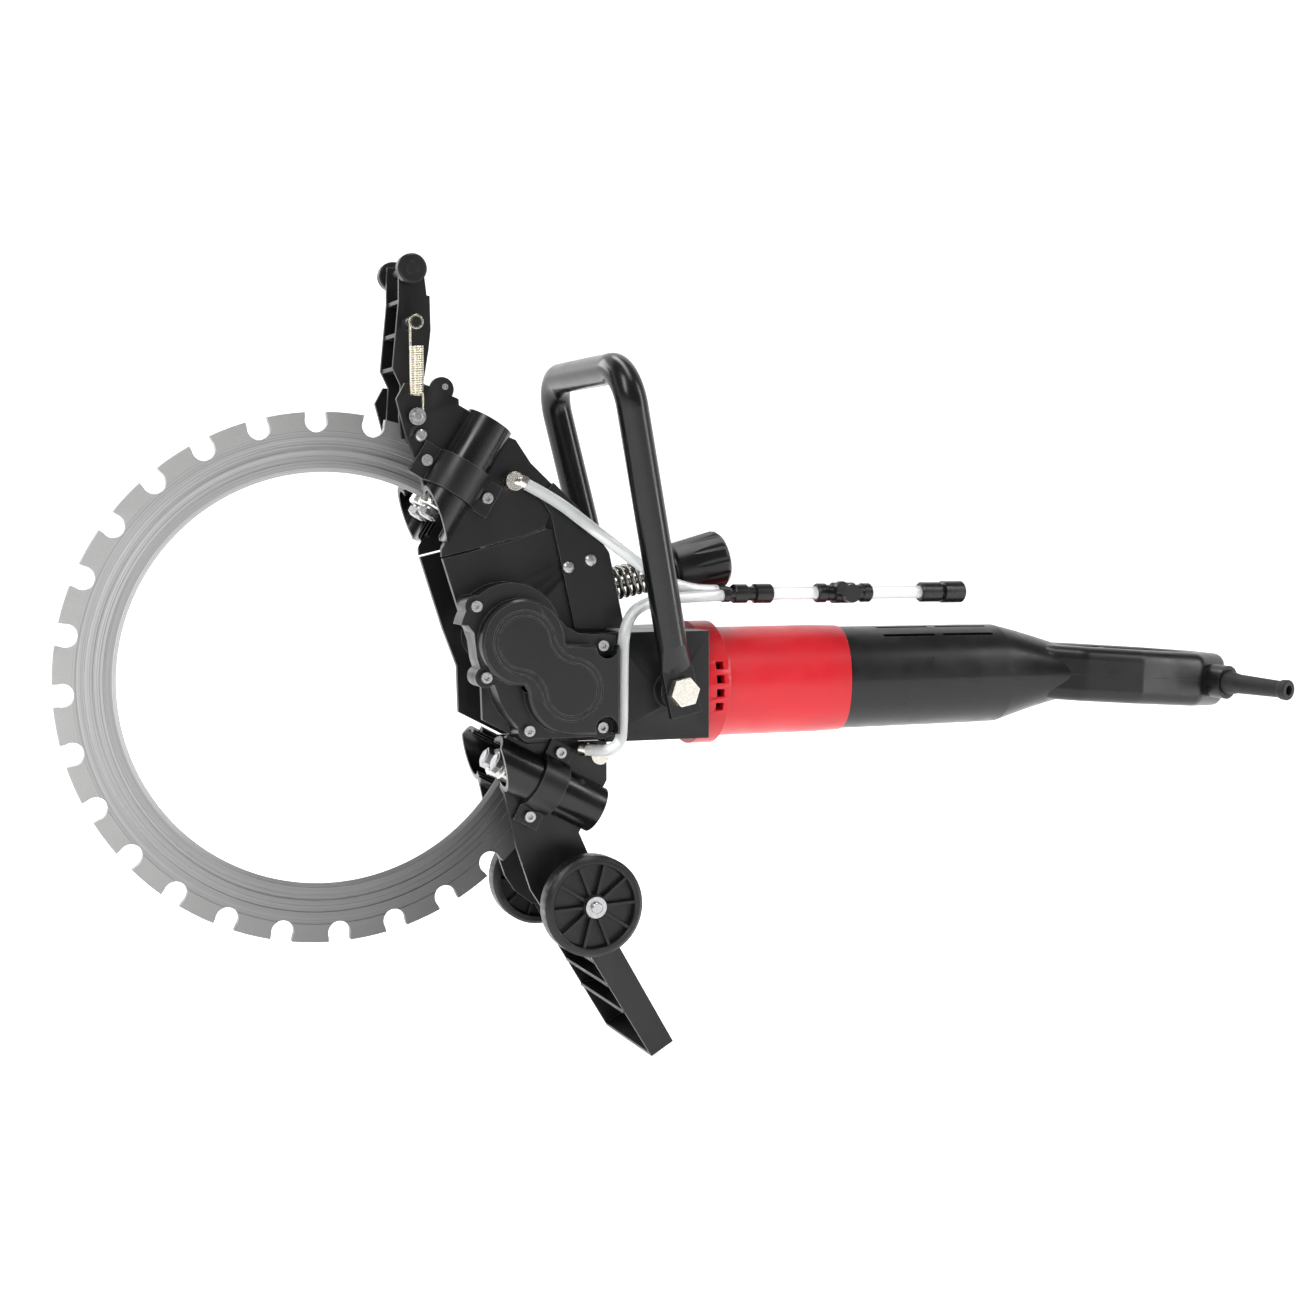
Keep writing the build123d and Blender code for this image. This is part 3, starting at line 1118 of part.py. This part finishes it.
keep(wheel_near, "wheel_near")
opposite(wheel_near, "wheel_far")

WEDGE_HALF = 46.0
WEDGE_WALL = 2.5
AXLE_BOSS_R = 8.0
WEDGE = [
    (152, -141), (163, -136), (174, -141), (187.1, -182.3), (227, -252.2), (211.3, -261.3), (166.8, -187.7),
    (151, -158),
]
WEDGE_BACK = [(184, -174), (187.1, -182.3), (227, -252.2), (224.8, -253.4), (184.6, -183.5), (181.8, -175.2)]
WEDGE_END = [(211.3, -261.3), (227, -252.2), (225.7, -250), (210, -259.1)]
WEDGE_RIBS = [((170, -192), (188, -189)), ((180, -209), (198, -207)), ((191, -228), (209, -226))]
with BuildPart() as wedge_guard:
    for lip in (-1, 1):
        slab(WEDGE, lip * WEDGE_HALF, lip * (WEDGE_HALF - WEDGE_WALL))
        rod((WHEEL[0], lip * (WEDGE_HALF - 5), WHEEL[1]), (WHEEL[0], lip * (WEDGE_HALF + 3), WHEEL[1]), 11)
    inner = WEDGE_HALF - 1
    slab(WEDGE_BACK, -inner, inner)
    slab(WEDGE_END, -inner, inner)
    for (x_start, z_start), (x_end, z_end) in WEDGE_RIBS:
        slab([(x_start, z_start), (x_end, z_end), (x_end, z_end - 2), (x_start, z_start - 2)], -inner, inner)
    rod((WHEEL[0], -60, WHEEL[1]), (WHEEL[0], 60, WHEEL[1]), AXLE_BOSS_R + 0.1, Mode.SUBTRACT)
keep(wedge_guard, "wedge_guard")


# --- Water line ---
def bent_tube(points, radius):
    """Adds a tube of straight runs joined by tangent arcs, and prints the arcs' radii."""
    nodes = [Vector(*point) for point in points]
    runs = [b - a for a, b in zip(nodes, nodes[1:])]
    bends = []
    for before, after in zip(runs, runs[1:]):
        turn = radians(before.get_angle(after))
        bends.append(0.45 * min(before.length, after.length) / tan(turn / 2))
    print("bend radii", [round(bend) for bend in bends])
    with BuildLine() as route:
        FilletPolyline(*points, radius=bends)
    with BuildSketch(Plane(origin=points[0], z_dir=runs[0])) as section:
        Circle(radius)
    sweep(section.sketch, path=route.line)
    print("length", round(route.wire().length))


UPPER_ROUTE = [
    (125, -40.5, 128), (145, -43, 117.5), (165, -43.5, 102.5), (204, -40, 75), (222, -34, 64), (246, -27, 57),
    (260, -23, 55.6), (269, -21, 55.4),
]
LOWER_ROUTE = [
    (166, -44, -49), (176, -52.5, -50.5), (185.5, -55, -45), (187, -55, -33), (187.3, -55, 10),
    (188.4, -54, 30), (198, -48, 45.5), (222, -38, 51), (254, -32, 52), (269, -31, 52.3),
]
for name, hose_route in (("upper", UPPER_ROUTE), ("lower", LOWER_ROUTE)):
    with BuildPart() as hose:
        bent_tube(hose_route, HOSE_R)
    keep(hose, f"hose_{name}")

with BuildPart() as hose_barbs:
    for (x, z), hose_route in ((UPPER_BARB, UPPER_ROUTE), (LOWER_BARB, LOWER_ROUTE)):
        hose_start = Vector(*hose_route[0])
        rod((x, -PLATE_IN, z), (x, -PLATE_OUT, z), 4)
        rod((x, -PLATE_OUT, z), (x, hose_start.Y - 3, z), 6.2)
        away = (Vector(*hose_route[1]) - hose_start).normalized()
        inside = Vector(x, hose_start.Y + 1, z)
        rod(tuple(inside), tuple(hose_start - away * 3), 4.4)
        rod(tuple(hose_start - away * 5), tuple(hose_start), 4.6)
keep(hose_barbs, "hose_barbs")

line_start = Vector(*LINE_START)
line_run = (Vector(*LINE_END) - line_start).normalized()


def on_line(distance):
    """Point on the water line's axis."""
    return tuple(line_start + line_run * distance)


with BuildPart() as y_connector:
    for hose_route in (UPPER_ROUTE, LOWER_ROUTE):
        hose_end = Vector(*hose_route[-1])
        onward = (hose_end - Vector(*hose_route[-2])).normalized()
        rod(tuple(hose_end), tuple(hose_end + onward * 5), 4.8)
        rod(tuple(hose_end + onward * 3), on_line(15), 3.6)
    turned(on_line(0), tuple(line_run), [
        (10, 0), (10, 6), (11, 6.6), (20, 6.6), (21, 5), (26, 5), (27, 6.8), (39, 6.8), (40, 6), (40, 0),
    ])
keep(y_connector, "y_connector")

with BuildPart() as line_tubes:
    for start, end in ((40, 76), (120, 162)):
        rod(on_line(start), on_line(end), LINE_TUBE_R)
keep(line_tubes, "line_tubes")

LEVER_AT = 98.0
lever_out = Vector(line_run.Y, -line_run.X, 0).normalized()
with BuildPart() as valve_body:
    turned(on_line(0), tuple(line_run), [
        (76, 0), (76, 6), (77, 6.8), (83, 6.8), (84, 5.8), (90, 5.8), (90, 7.4), (106, 7.4), (106, 5.8),
        (112, 5.8), (113, 6.8), (119, 6.8), (120, 6), (120, 0),
    ])
    hub = Vector(*on_line(LEVER_AT))
    rod(tuple(hub), tuple(hub + lever_out * 10), 5)
keep(valve_body, "valve_body")

with BuildPart() as valve_lever:
    lever_plane = Plane(origin=hub + lever_out * 10.3, x_dir=line_run, z_dir=lever_out)
    with BuildSketch(lever_plane) as lever_outline:
        Circle(6.5)
        with Locations((-8.5, 4)):
            Circle(4.7)
        with Locations((-4.2, 2)):
            Rectangle(9, 7, rotation=-25)
    extrude(lever_outline.sketch, amount=4.5)
keep(valve_lever, "valve_lever")

with BuildPart() as water_coupler:
    turned(on_line(0), tuple(line_run), [
        (162, 0), (162, 6.4), (163, 7.2), (178, 7.2), (180, 5.6), (181, 7.9), (197, 7.9), (198, 7),
        (198, 4.5), (184, 4.5), (184, 0),
    ])
keep(water_coupler, "water_coupler")
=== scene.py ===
import json
from math import cos, radians, sin

import bmesh
import bpy
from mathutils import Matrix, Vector


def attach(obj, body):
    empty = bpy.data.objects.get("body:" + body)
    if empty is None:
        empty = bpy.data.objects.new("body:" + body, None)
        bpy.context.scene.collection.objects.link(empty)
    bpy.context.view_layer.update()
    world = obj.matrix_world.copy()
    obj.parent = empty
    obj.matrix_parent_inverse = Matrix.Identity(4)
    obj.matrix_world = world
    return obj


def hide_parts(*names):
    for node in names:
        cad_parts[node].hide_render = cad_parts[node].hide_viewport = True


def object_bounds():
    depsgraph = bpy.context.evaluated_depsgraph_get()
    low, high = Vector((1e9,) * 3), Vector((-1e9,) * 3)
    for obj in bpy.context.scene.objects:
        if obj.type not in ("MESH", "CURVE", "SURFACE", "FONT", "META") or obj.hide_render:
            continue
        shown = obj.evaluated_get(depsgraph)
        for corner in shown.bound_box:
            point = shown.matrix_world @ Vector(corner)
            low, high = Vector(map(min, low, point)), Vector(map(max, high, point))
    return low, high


# Hand-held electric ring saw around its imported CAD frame. Metres, origin at the ring's centre,
# ring in the XZ plane, +X back towards the motor, near side -Y.

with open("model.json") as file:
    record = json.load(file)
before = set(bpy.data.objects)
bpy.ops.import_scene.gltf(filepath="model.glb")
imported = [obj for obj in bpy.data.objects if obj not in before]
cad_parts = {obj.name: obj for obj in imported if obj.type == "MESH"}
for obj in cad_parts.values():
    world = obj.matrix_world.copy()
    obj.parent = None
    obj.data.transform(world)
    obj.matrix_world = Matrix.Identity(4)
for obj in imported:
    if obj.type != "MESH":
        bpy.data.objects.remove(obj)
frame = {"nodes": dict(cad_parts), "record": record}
cad_low, cad_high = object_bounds()
NODES = frame["nodes"]

SLOTS = {entry["node"]: entry["material_slot"] for entry in frame["record"]["subparts"]}
BODY_OF = {node: body for body, nodes in frame["record"]["behaviour"]["bodies"].items() for node in nodes}

BUMP_DEPTH = 0.0004
EDGE_ROUND = 0.0006
WEAR_AND_HIGHLIGHT_REACH = 0.0007
WHITE = (1.0, 1.0, 1.0, 1.0)


# --- Materials -------------------------------------------------------------------------------
class Shader:
    """A Principled material with short calls for the nodes that feed it."""

    def __init__(self, name, colour, rough, metal=0.0):
        self.material = bpy.data.materials.new(name)
        self.material.use_nodes = True
        self.tree = self.material.node_tree
        self.surface = self.tree.nodes["Principled BSDF"]
        self.set(self.surface, "Base Color", (*colour, 1.0))
        self.set(self.surface, "Roughness", rough)
        self.set(self.surface, "Metallic", metal)
        self.place = self.node("ShaderNodeTexCoord").outputs["Object"]

    def node(self, kind, **settings):
        made = self.tree.nodes.new(kind)
        for key, value in settings.items():
            setattr(made, key, value)
        return made

    @staticmethod
    def set(node, socket, value):
        node.inputs[socket].default_value = value

    def link(self, output, node, socket):
        self.tree.links.new(output, node.inputs[socket])

    def maths(self, kind, first, second=0.0):
        made = self.node("ShaderNodeMath", operation=kind)
        for slot, value in enumerate((first, second)):
            if isinstance(value, (int, float)):
                made.inputs[slot].default_value = value
            else:
                self.link(value, made, slot)
        return made.outputs[0]

    def noise(self, scale, detail=3.0, stretch=None, where=None):
        made = self.node("ShaderNodeTexNoise")
        self.set(made, "Scale", scale)
        self.set(made, "Detail", detail)
        where = where or self.place
        if stretch:
            squeeze = self.node("ShaderNodeMapping")
            self.set(squeeze, "Scale", stretch)
            self.link(where, squeeze, "Vector")
            where = squeeze.outputs[0]
        self.link(where, made, "Vector")
        return made.outputs["Fac"]

    def ramp(self, value, low, high, start=0.0, end=1.0):
        made = self.node("ShaderNodeMapRange")
        for socket, number in (("From Min", start), ("From Max", end), ("To Min", low), ("To Max", high)):
            self.set(made, socket, number)
        self.link(value, made, "Value")
        return made.outputs[0]

    def blend(self, factor, first, second):
        made = self.node("ShaderNodeMix", data_type="RGBA")
        for slot, value in ((6, first), (7, second)):
            if isinstance(value, tuple):
                made.inputs[slot].default_value = (*value, 1.0)
            else:
                self.link(value, made, slot)
        self.link(factor, made, 0)
        return made.outputs[2]

    def colour(self, output):
        self.link(output, self.surface, "Base Color")

    def rough(self, output):
        self.link(output, self.surface, "Roughness")

    def bump(self, height, strength, distance, rounded=EDGE_ROUND):
        made = self.node("ShaderNodeBump")
        self.set(made, "Strength", strength)
        self.set(made, "Distance", distance)
        self.link(height, made, "Height")
        if rounded:
            edge = self.node("ShaderNodeBevel", samples=4)
            self.set(edge, "Radius", rounded)
            self.link(edge.outputs[0], made, "Normal")
        self.link(made.outputs[0], self.surface, "Normal")

    def wear_and_highlight_edges(self, base, edge_wear_and_highlight):
        """Colour that turns lighter along sharp edges, broken up by noise: partly wear, partly a painted
        edge highlight.
        """
        rounded = self.node("ShaderNodeBevel", samples=4)
        self.set(rounded, "Radius", WEAR_AND_HIGHLIGHT_REACH)
        facing = self.node("ShaderNodeVectorMath", operation="DOT_PRODUCT")
        self.link(rounded.outputs[0], facing, 0)
        self.link(self.node("ShaderNodeNewGeometry").outputs["Normal"], facing, 1)
        edge = self.ramp(facing.outputs["Value"], 1.0, 0.0, 0.86, 0.985)
        broken = self.maths("MULTIPLY", edge, self.ramp(self.noise(260.0, 4.0), 0.45, 1.0, 0.3, 0.6))
        return self.blend(broken, base, edge_wear_and_highlight)


def paint(name, colour, rough, grain, edge_wear_and_highlight, texture_scale=900.0):
    """Painted or powder-coated metal: fine orange peel, faint handling marks, edges painted lighter as wear
    and as a painted highlight.
    """
    made = Shader(name, colour, rough)
    lighter = tuple(channel * 1.3 + 0.001 for channel in colour)
    cloudy = made.blend(made.ramp(made.noise(14.0, 4.0), 0.0, 0.8, 0.35, 0.7), colour, lighter)
    # Sharp edges are coloured lighter: partly wear, partly a painted edge highlight.
    made.colour(made.wear_and_highlight_edges(cloudy, edge_wear_and_highlight))
    smear = made.noise(55.0, 5.0, (1.0, 1.0, 0.35))
    made.rough(made.ramp(smear, rough - 0.07, rough + 0.09, 0.3, 0.7))
    made.bump(made.noise(texture_scale, 2.0), grain, BUMP_DEPTH)
    Shader.set(made.surface, "Specular IOR Level", 0.4)
    return made


def plastic(name, colour, rough, grain, coat=0.0, texture_scale=1300.0):
    """Moulded plastic with a spark-eroded grain."""
    made = Shader(name, colour, rough)
    lighter = tuple(channel * 1.25 + 0.0008 for channel in colour)
    made.colour(made.blend(made.ramp(made.noise(20.0, 3.0), 0.0, 0.7, 0.35, 0.7), colour, lighter))
    made.rough(made.ramp(made.noise(70.0, 5.0), rough - 0.05, rough + 0.07, 0.3, 0.7))
    made.bump(made.noise(texture_scale, 2.0), grain, BUMP_DEPTH)
    Shader.set(made.surface, "Specular IOR Level", 0.36)
    Shader.set(made.surface, "Coat Weight", coat)
    Shader.set(made.surface, "Coat Roughness", 0.12)
    return made


def metal(name, colour, rough, along=None, lines=900.0):
    """Machined metal; along is the noise stretch that draws tool marks."""
    made = Shader(name, colour, rough, 1.0)
    marks = made.noise(lines, 3.0, along or (1.0, 1.0, 1.0))
    dark = tuple(channel * 0.72 for channel in colour)
    made.colour(made.blend(made.ramp(marks, 0.0, 1.0, 0.3, 0.7), dark, colour))
    made.rough(made.ramp(marks, rough - 0.08, rough + 0.1, 0.3, 0.7))
    made.bump(marks, 0.18, BUMP_DEPTH)
    return made


RIM_FROM = 0.163
RIM_BLUR = 0.0002
TURNING_SCALE = 1900.0
TURNING_DRIFT = 2.0


def ring_steel():
    """Turned blade: tool marks in rings, sintered grain on the segments, painted shade darkening one side.
    """
    made = Shader("ring_steel", (0.34, 0.34, 0.345), 0.42, 0.7)
    apart = made.node("ShaderNodeSeparateXYZ")
    made.link(made.place, apart, 0)
    across, up = apart.outputs["X"], apart.outputs["Z"]
    square = made.maths("ADD", made.maths("MULTIPLY", across, across), made.maths("MULTIPLY", up, up))
    radius = made.maths("SQRT", square)
    turning = made.node("ShaderNodeCombineXYZ")
    made.link(made.maths("MULTIPLY", radius, TURNING_SCALE), turning, 0)
    made.link(made.maths("MULTIPLY", across, TURNING_DRIFT), turning, 1)
    made.link(made.maths("MULTIPLY", up, TURNING_DRIFT), turning, 2)
    rings = made.noise(1.0, 3.0, where=turning.outputs[0])
    segment = made.ramp(radius, 0.0, 1.0, RIM_FROM - RIM_BLUR, RIM_FROM + RIM_BLUR)
    sinter = made.noise(1600.0, 3.0)
    core = made.blend(made.ramp(rings, 0.0, 1.0, 0.3, 0.7), (0.30, 0.30, 0.30), (0.60, 0.60, 0.60))
    rim = made.blend(sinter, (0.34, 0.34, 0.34), (0.56, 0.56, 0.55))
    clean = made.blend(segment, core, rim)
    # Painted shade: the blade is coloured darker towards +X and downwards, broken up by noise, and this
    # shade turns with the blade.
    shade_slope = made.maths("SUBTRACT", made.maths("MULTIPLY", across, 0.85), made.maths("MULTIPLY", up, 0.35))
    smeared = made.ramp(made.noise(9.0, 4.0), 0.0, 0.2)
    painted_side_shade = made.maths("ADD", made.ramp(shade_slope, 0.0, 0.85, -0.14, 0.12), smeared)
    made.colour(made.blend(painted_side_shade, clean, (0.09, 0.09, 0.09)))
    grain = made.blend(segment, rings, sinter)
    made.rough(made.ramp(grain, 0.34, 0.54, 0.3, 0.7))
    made.bump(grain, 0.3, BUMP_DEPTH)
    return made


def clear_pvc():
    """Soft clear tube, milky, with faint length-wise cloudiness."""
    made = Shader("clear_pvc", (0.88, 0.9, 0.9), 0.16)
    Shader.set(made.surface, "Transmission Weight", 0.55)
    Shader.set(made.surface, "IOR", 1.42)
    milky = made.ramp(made.noise(60.0, 3.0), 0.0, 0.6, 0.3, 0.7)
    made.colour(made.blend(milky, (0.92, 0.94, 0.94), (0.8, 0.82, 0.82)))
    made.rough(made.ramp(made.noise(240.0, 4.0), 0.1, 0.24, 0.3, 0.7))
    made.bump(made.noise(700.0, 2.0), 0.08, BUMP_DEPTH, rounded=0.0)
    return made


def studio_white():
    """Plain pale floor with a barely visible tooth."""
    made = Shader("studio_white", (0.86, 0.86, 0.86), 0.75)
    made.colour(made.blend(made.noise(3.0, 2.0), (0.85, 0.85, 0.85), (0.88, 0.88, 0.88)))
    Shader.set(made.surface, "Emission Color", WHITE)
    Shader.set(made.surface, "Emission Strength", 0.72)
    return made


FINISHES = {
    # The last colour of each paint is its edge colour: wear and painted edge highlight.
    "black_paint": paint("black_powder", (0.005, 0.005, 0.0053), 0.36, 0.10, (0.14, 0.14, 0.14)),
    "black_gloss": paint("black_enamel", (0.004, 0.004, 0.0043), 0.22, 0.03, (0.10, 0.10, 0.10), 500.0),
    "screw_steel": metal("screw_steel", (0.50, 0.50, 0.51), 0.32),
    "bolt_zinc": metal("bolt_zinc", (0.95, 0.91, 0.82), 0.34),
    "blade_steel": ring_steel(),
    "hard_steel": metal("ground_steel", (0.70, 0.69, 0.66), 0.26, (1.0, 0.2, 1.0)),
    "gear_steel": metal("gear_steel", (0.44, 0.44, 0.45), 0.34),
    "iron_core": metal("laminated_iron", (0.2, 0.19, 0.18), 0.5, (12.0, 1.0, 1.0), 200.0),
    "copper_bar": metal("copper_bar", (0.74, 0.42, 0.26), 0.3),
    "carbon": plastic("pressed_carbon", (0.03, 0.03, 0.032), 0.55, 0.4),
    "fan_plastic": plastic("nylon", (0.02, 0.02, 0.022), 0.5, 0.3),
    "red_housing": plastic("red_shell", (0.46, 0.004, 0.011), 0.36, 0.08, 0.1),
    "red_trigger": plastic("red_trigger", (0.50, 0.015, 0.035), 0.3, 0.1, 0.25),
    "black_housing": plastic("black_shell", (0.004, 0.004, 0.0045), 0.32, 0.06, 0.0),
    "black_rubber": plastic("black_rubber", (0.010, 0.010, 0.011), 0.55, 0.25),
    "wheel_plastic": plastic("wheel_nylon", (0.007, 0.007, 0.0075), 0.36, 0.22),
    "spring_steel": metal("spring_wire", (0.86, 0.80, 0.66), 0.24),
    "clear_hose": clear_pvc(),
    "fitting_plastic": plastic("acetal", (0.007, 0.007, 0.0075), 0.28, 0.08),
    "barb_nickel": metal("nickel", (0.78, 0.74, 0.68), 0.22),
}


def finish_with(piece, slot):
    """Gives a piece one of the finishes."""
    piece.data.materials.clear()
    piece.data.materials.append(FINISHES[slot].material)


for node_name, node in NODES.items():
    finish_with(node, SLOTS[node_name])
NODES["tension_spring"].data.materials[0] = metal("oiled_spring", (0.30, 0.29, 0.26), 0.22).material


# --- Pieces that stand in for CAD nodes ------------------------------------------------------
def placed(name, data, slot, body, node_name):
    """A new piece with its finish, riding on a body in place of a CAD node."""
    piece = bpy.data.objects.new(name, data)
    bpy.context.scene.collection.objects.link(piece)
    finish_with(piece, slot)
    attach(piece, body)
    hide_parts(node_name)
    return piece


WELD = 0.00002
FLAT_BELOW = radians(0.6)
SMOOTH_BELOW = radians(32.0)
ROUND_ABOVE = radians(38.0)
CAST_EDGE = 0.0005
PLATE_EDGE = 0.0004


def softened(node_name, width):
    """Stands in for a CAD node with the same shape, its hard edges broken by a small round."""
    shape = bmesh.new()
    shape.from_mesh(NODES[node_name].data)
    bmesh.ops.remove_doubles(shape, verts=shape.verts, dist=WELD)
    bmesh.ops.dissolve_limit(shape, angle_limit=FLAT_BELOW, verts=shape.verts, edges=shape.edges)
    mesh = bpy.data.meshes.new(node_name + "_soft")
    shape.to_mesh(mesh)
    shape.free()
    mesh.shade_smooth()
    mesh.set_sharp_from_angle(angle=SMOOTH_BELOW)
    piece = placed(node_name + "_soft", mesh, SLOTS[node_name], BODY_OF[node_name], node_name)
    rounding = piece.modifiers.new("edges", "BEVEL")
    rounding.width = width
    rounding.segments = 2
    rounding.limit_method = "ANGLE"
    rounding.angle_limit = ROUND_ABOVE
    rounding.use_clamp_overlap = True
    rounding.miter_outer = "MITER_ARC"
    rounding.harden_normals = True


for node_name, width in (
    ("gear_case", CAST_EDGE), ("gear_cover", CAST_EDGE), ("guard_upper_near", PLATE_EDGE),
    ("guard_lower_near", PLATE_EDGE), ("guard_upper_far", PLATE_EDGE), ("guard_lower_far", PLATE_EDGE),
    ("guard_arm", CAST_EDGE), ("wedge_guard", CAST_EDGE), ("wheel_near", PLATE_EDGE),
    ("wheel_far", PLATE_EDGE), ("motor_housing", CAST_EDGE), ("handle_bolts", PLATE_EDGE),
):
    softened(node_name, width)


# --- Hoses -----------------------------------------------------------------------------------
UPPER_ROUTE = [
    (0.125, -0.0405, 0.128), (0.145, -0.043, 0.1175), (0.165, -0.0435, 0.1025), (0.204, -0.040, 0.075),
    (0.222, -0.034, 0.064), (0.246, -0.027, 0.057), (0.260, -0.023, 0.0556), (0.269, -0.021, 0.0554),
]
LOWER_ROUTE = [
    (0.166, -0.044, -0.049), (0.176, -0.0525, -0.0505), (0.1855, -0.055, -0.045), (0.187, -0.055, -0.033),
    (0.1873, -0.055, 0.010), (0.1884, -0.054, 0.030), (0.198, -0.048, 0.0455), (0.222, -0.038, 0.051),
    (0.254, -0.032, 0.052), (0.269, -0.031, 0.0523),
]
HOSE_R = 0.004


def hose(name, route):
    """A free hose on a smooth line through its route's control points."""
    curve = bpy.data.curves.new(name, "CURVE")
    curve.dimensions = "3D"
    spline = curve.splines.new("NURBS")
    spline.points.add(len(route) - 1)
    for point, place in zip(spline.points, route):
        point.co = (*place, 1.0)
    spline.order_u = 3
    spline.use_endpoint_u = True
    spline.resolution_u = 12
    curve.bevel_depth = HOSE_R
    curve.bevel_resolution = 6
    curve.use_fill_caps = True
    piece = placed(name + "_bent", curve, "clear_hose", "frame", name)


hose("hose_upper", UPPER_ROUTE)
hose("hose_lower", LOWER_ROUTE)


# --- Stage -----------------------------------------------------------------------------------
FLOOR_HALF = 60.0
WALL_AT = 5.0
WALL_HIGH = 12.0
SWEEP_R = 1.0
SWEEP_STEPS = 10


def floor_and_wall():
    """Pale floor that sweeps up into a wall behind the object."""
    mesh = bpy.data.meshes.new("floor")
    shape = bmesh.new()
    angles = [radians(90.0 * step / SWEEP_STEPS) for step in range(SWEEP_STEPS + 1)]
    foot = WALL_AT - SWEEP_R
    sweep = [(foot + SWEEP_R * sin(angle), SWEEP_R - SWEEP_R * cos(angle)) for angle in angles]
    profile = [(-FLOOR_HALF, 0.0), *sweep, (WALL_AT, WALL_HIGH)]
    rails = [[shape.verts.new((x, y, z)) for y, z in profile] for x in (-FLOOR_HALF, FLOOR_HALF)]
    for step in range(len(profile) - 1):
        shape.faces.new((rails[0][step], rails[1][step], rails[1][step + 1], rails[0][step + 1]))
    shape.to_mesh(mesh)
    shape.free()
    mesh.shade_smooth()
    floor = bpy.data.objects.new("floor", mesh)
    bpy.context.scene.collection.objects.link(floor)
    floor.location = (0.0, 0.0, cad_low.z - 0.001)
    mesh.materials.append(studio_white().material)


def studio_light():
    """Dim white surroundings, so that black stays black, and four soft boxes aimed at the object."""
    world = bpy.data.worlds.new("studio")
    bpy.context.scene.world = world
    world.use_nodes = True
    background = world.node_tree.nodes["Background"]
    background.inputs["Color"].default_value = WHITE
    background.inputs["Strength"].default_value = 0.2
    aim = (cad_low + cad_high) / 2
    for name, place, wide, high, watts in (
        ("key", (-1.1, -1.3, 1.3), 0.5, 1.4, 22.0),
        ("strip", (1.6, -0.9, 0.5), 0.3, 1.6, 14.0),
        ("top", (0.3, 0.0, 1.7), 2.2, 0.35, 20.0),
        ("rim", (-0.9, 1.3, 0.9), 1.2, 0.8, 12.0),
    ):
        light = bpy.data.lights.new(name, "AREA")
        light.shape = "RECTANGLE"
        light.size = wide
        light.size_y = high
        light.energy = watts
        lamp = bpy.data.objects.new(name, light)
        bpy.context.scene.collection.objects.link(lamp)
        lamp.location = place
        lamp.rotation_euler = (aim - Vector(place)).to_track_quat("-Z", "Y").to_euler()


CAMERA_AT = (-0.2831, -1.3511, 0.1096)
CAMERA_SWING = radians(20.8)
CAMERA_DIP = radians(3.9)
CAMERA_LENS = 57.15
CAMERA_SENSOR = 36.0


def camera_view():
    """Camera in front of the near side, a little above, turned towards the motor."""
    level = cos(CAMERA_DIP)
    ahead = Vector((sin(CAMERA_SWING) * level, cos(CAMERA_SWING) * level, -sin(CAMERA_DIP)))
    lens = bpy.data.cameras.new("camera")
    lens.lens = CAMERA_LENS
    lens.sensor_width = CAMERA_SENSOR
    camera = bpy.data.objects.new("camera", lens)
    bpy.context.scene.collection.objects.link(camera)
    camera.location = CAMERA_AT
    camera.rotation_euler = ahead.to_track_quat("-Z", "Y").to_euler()
    bpy.context.scene.camera = camera


floor_and_wall()
studio_light()
camera_view()
bpy.context.scene.view_settings.view_transform = "Standard"
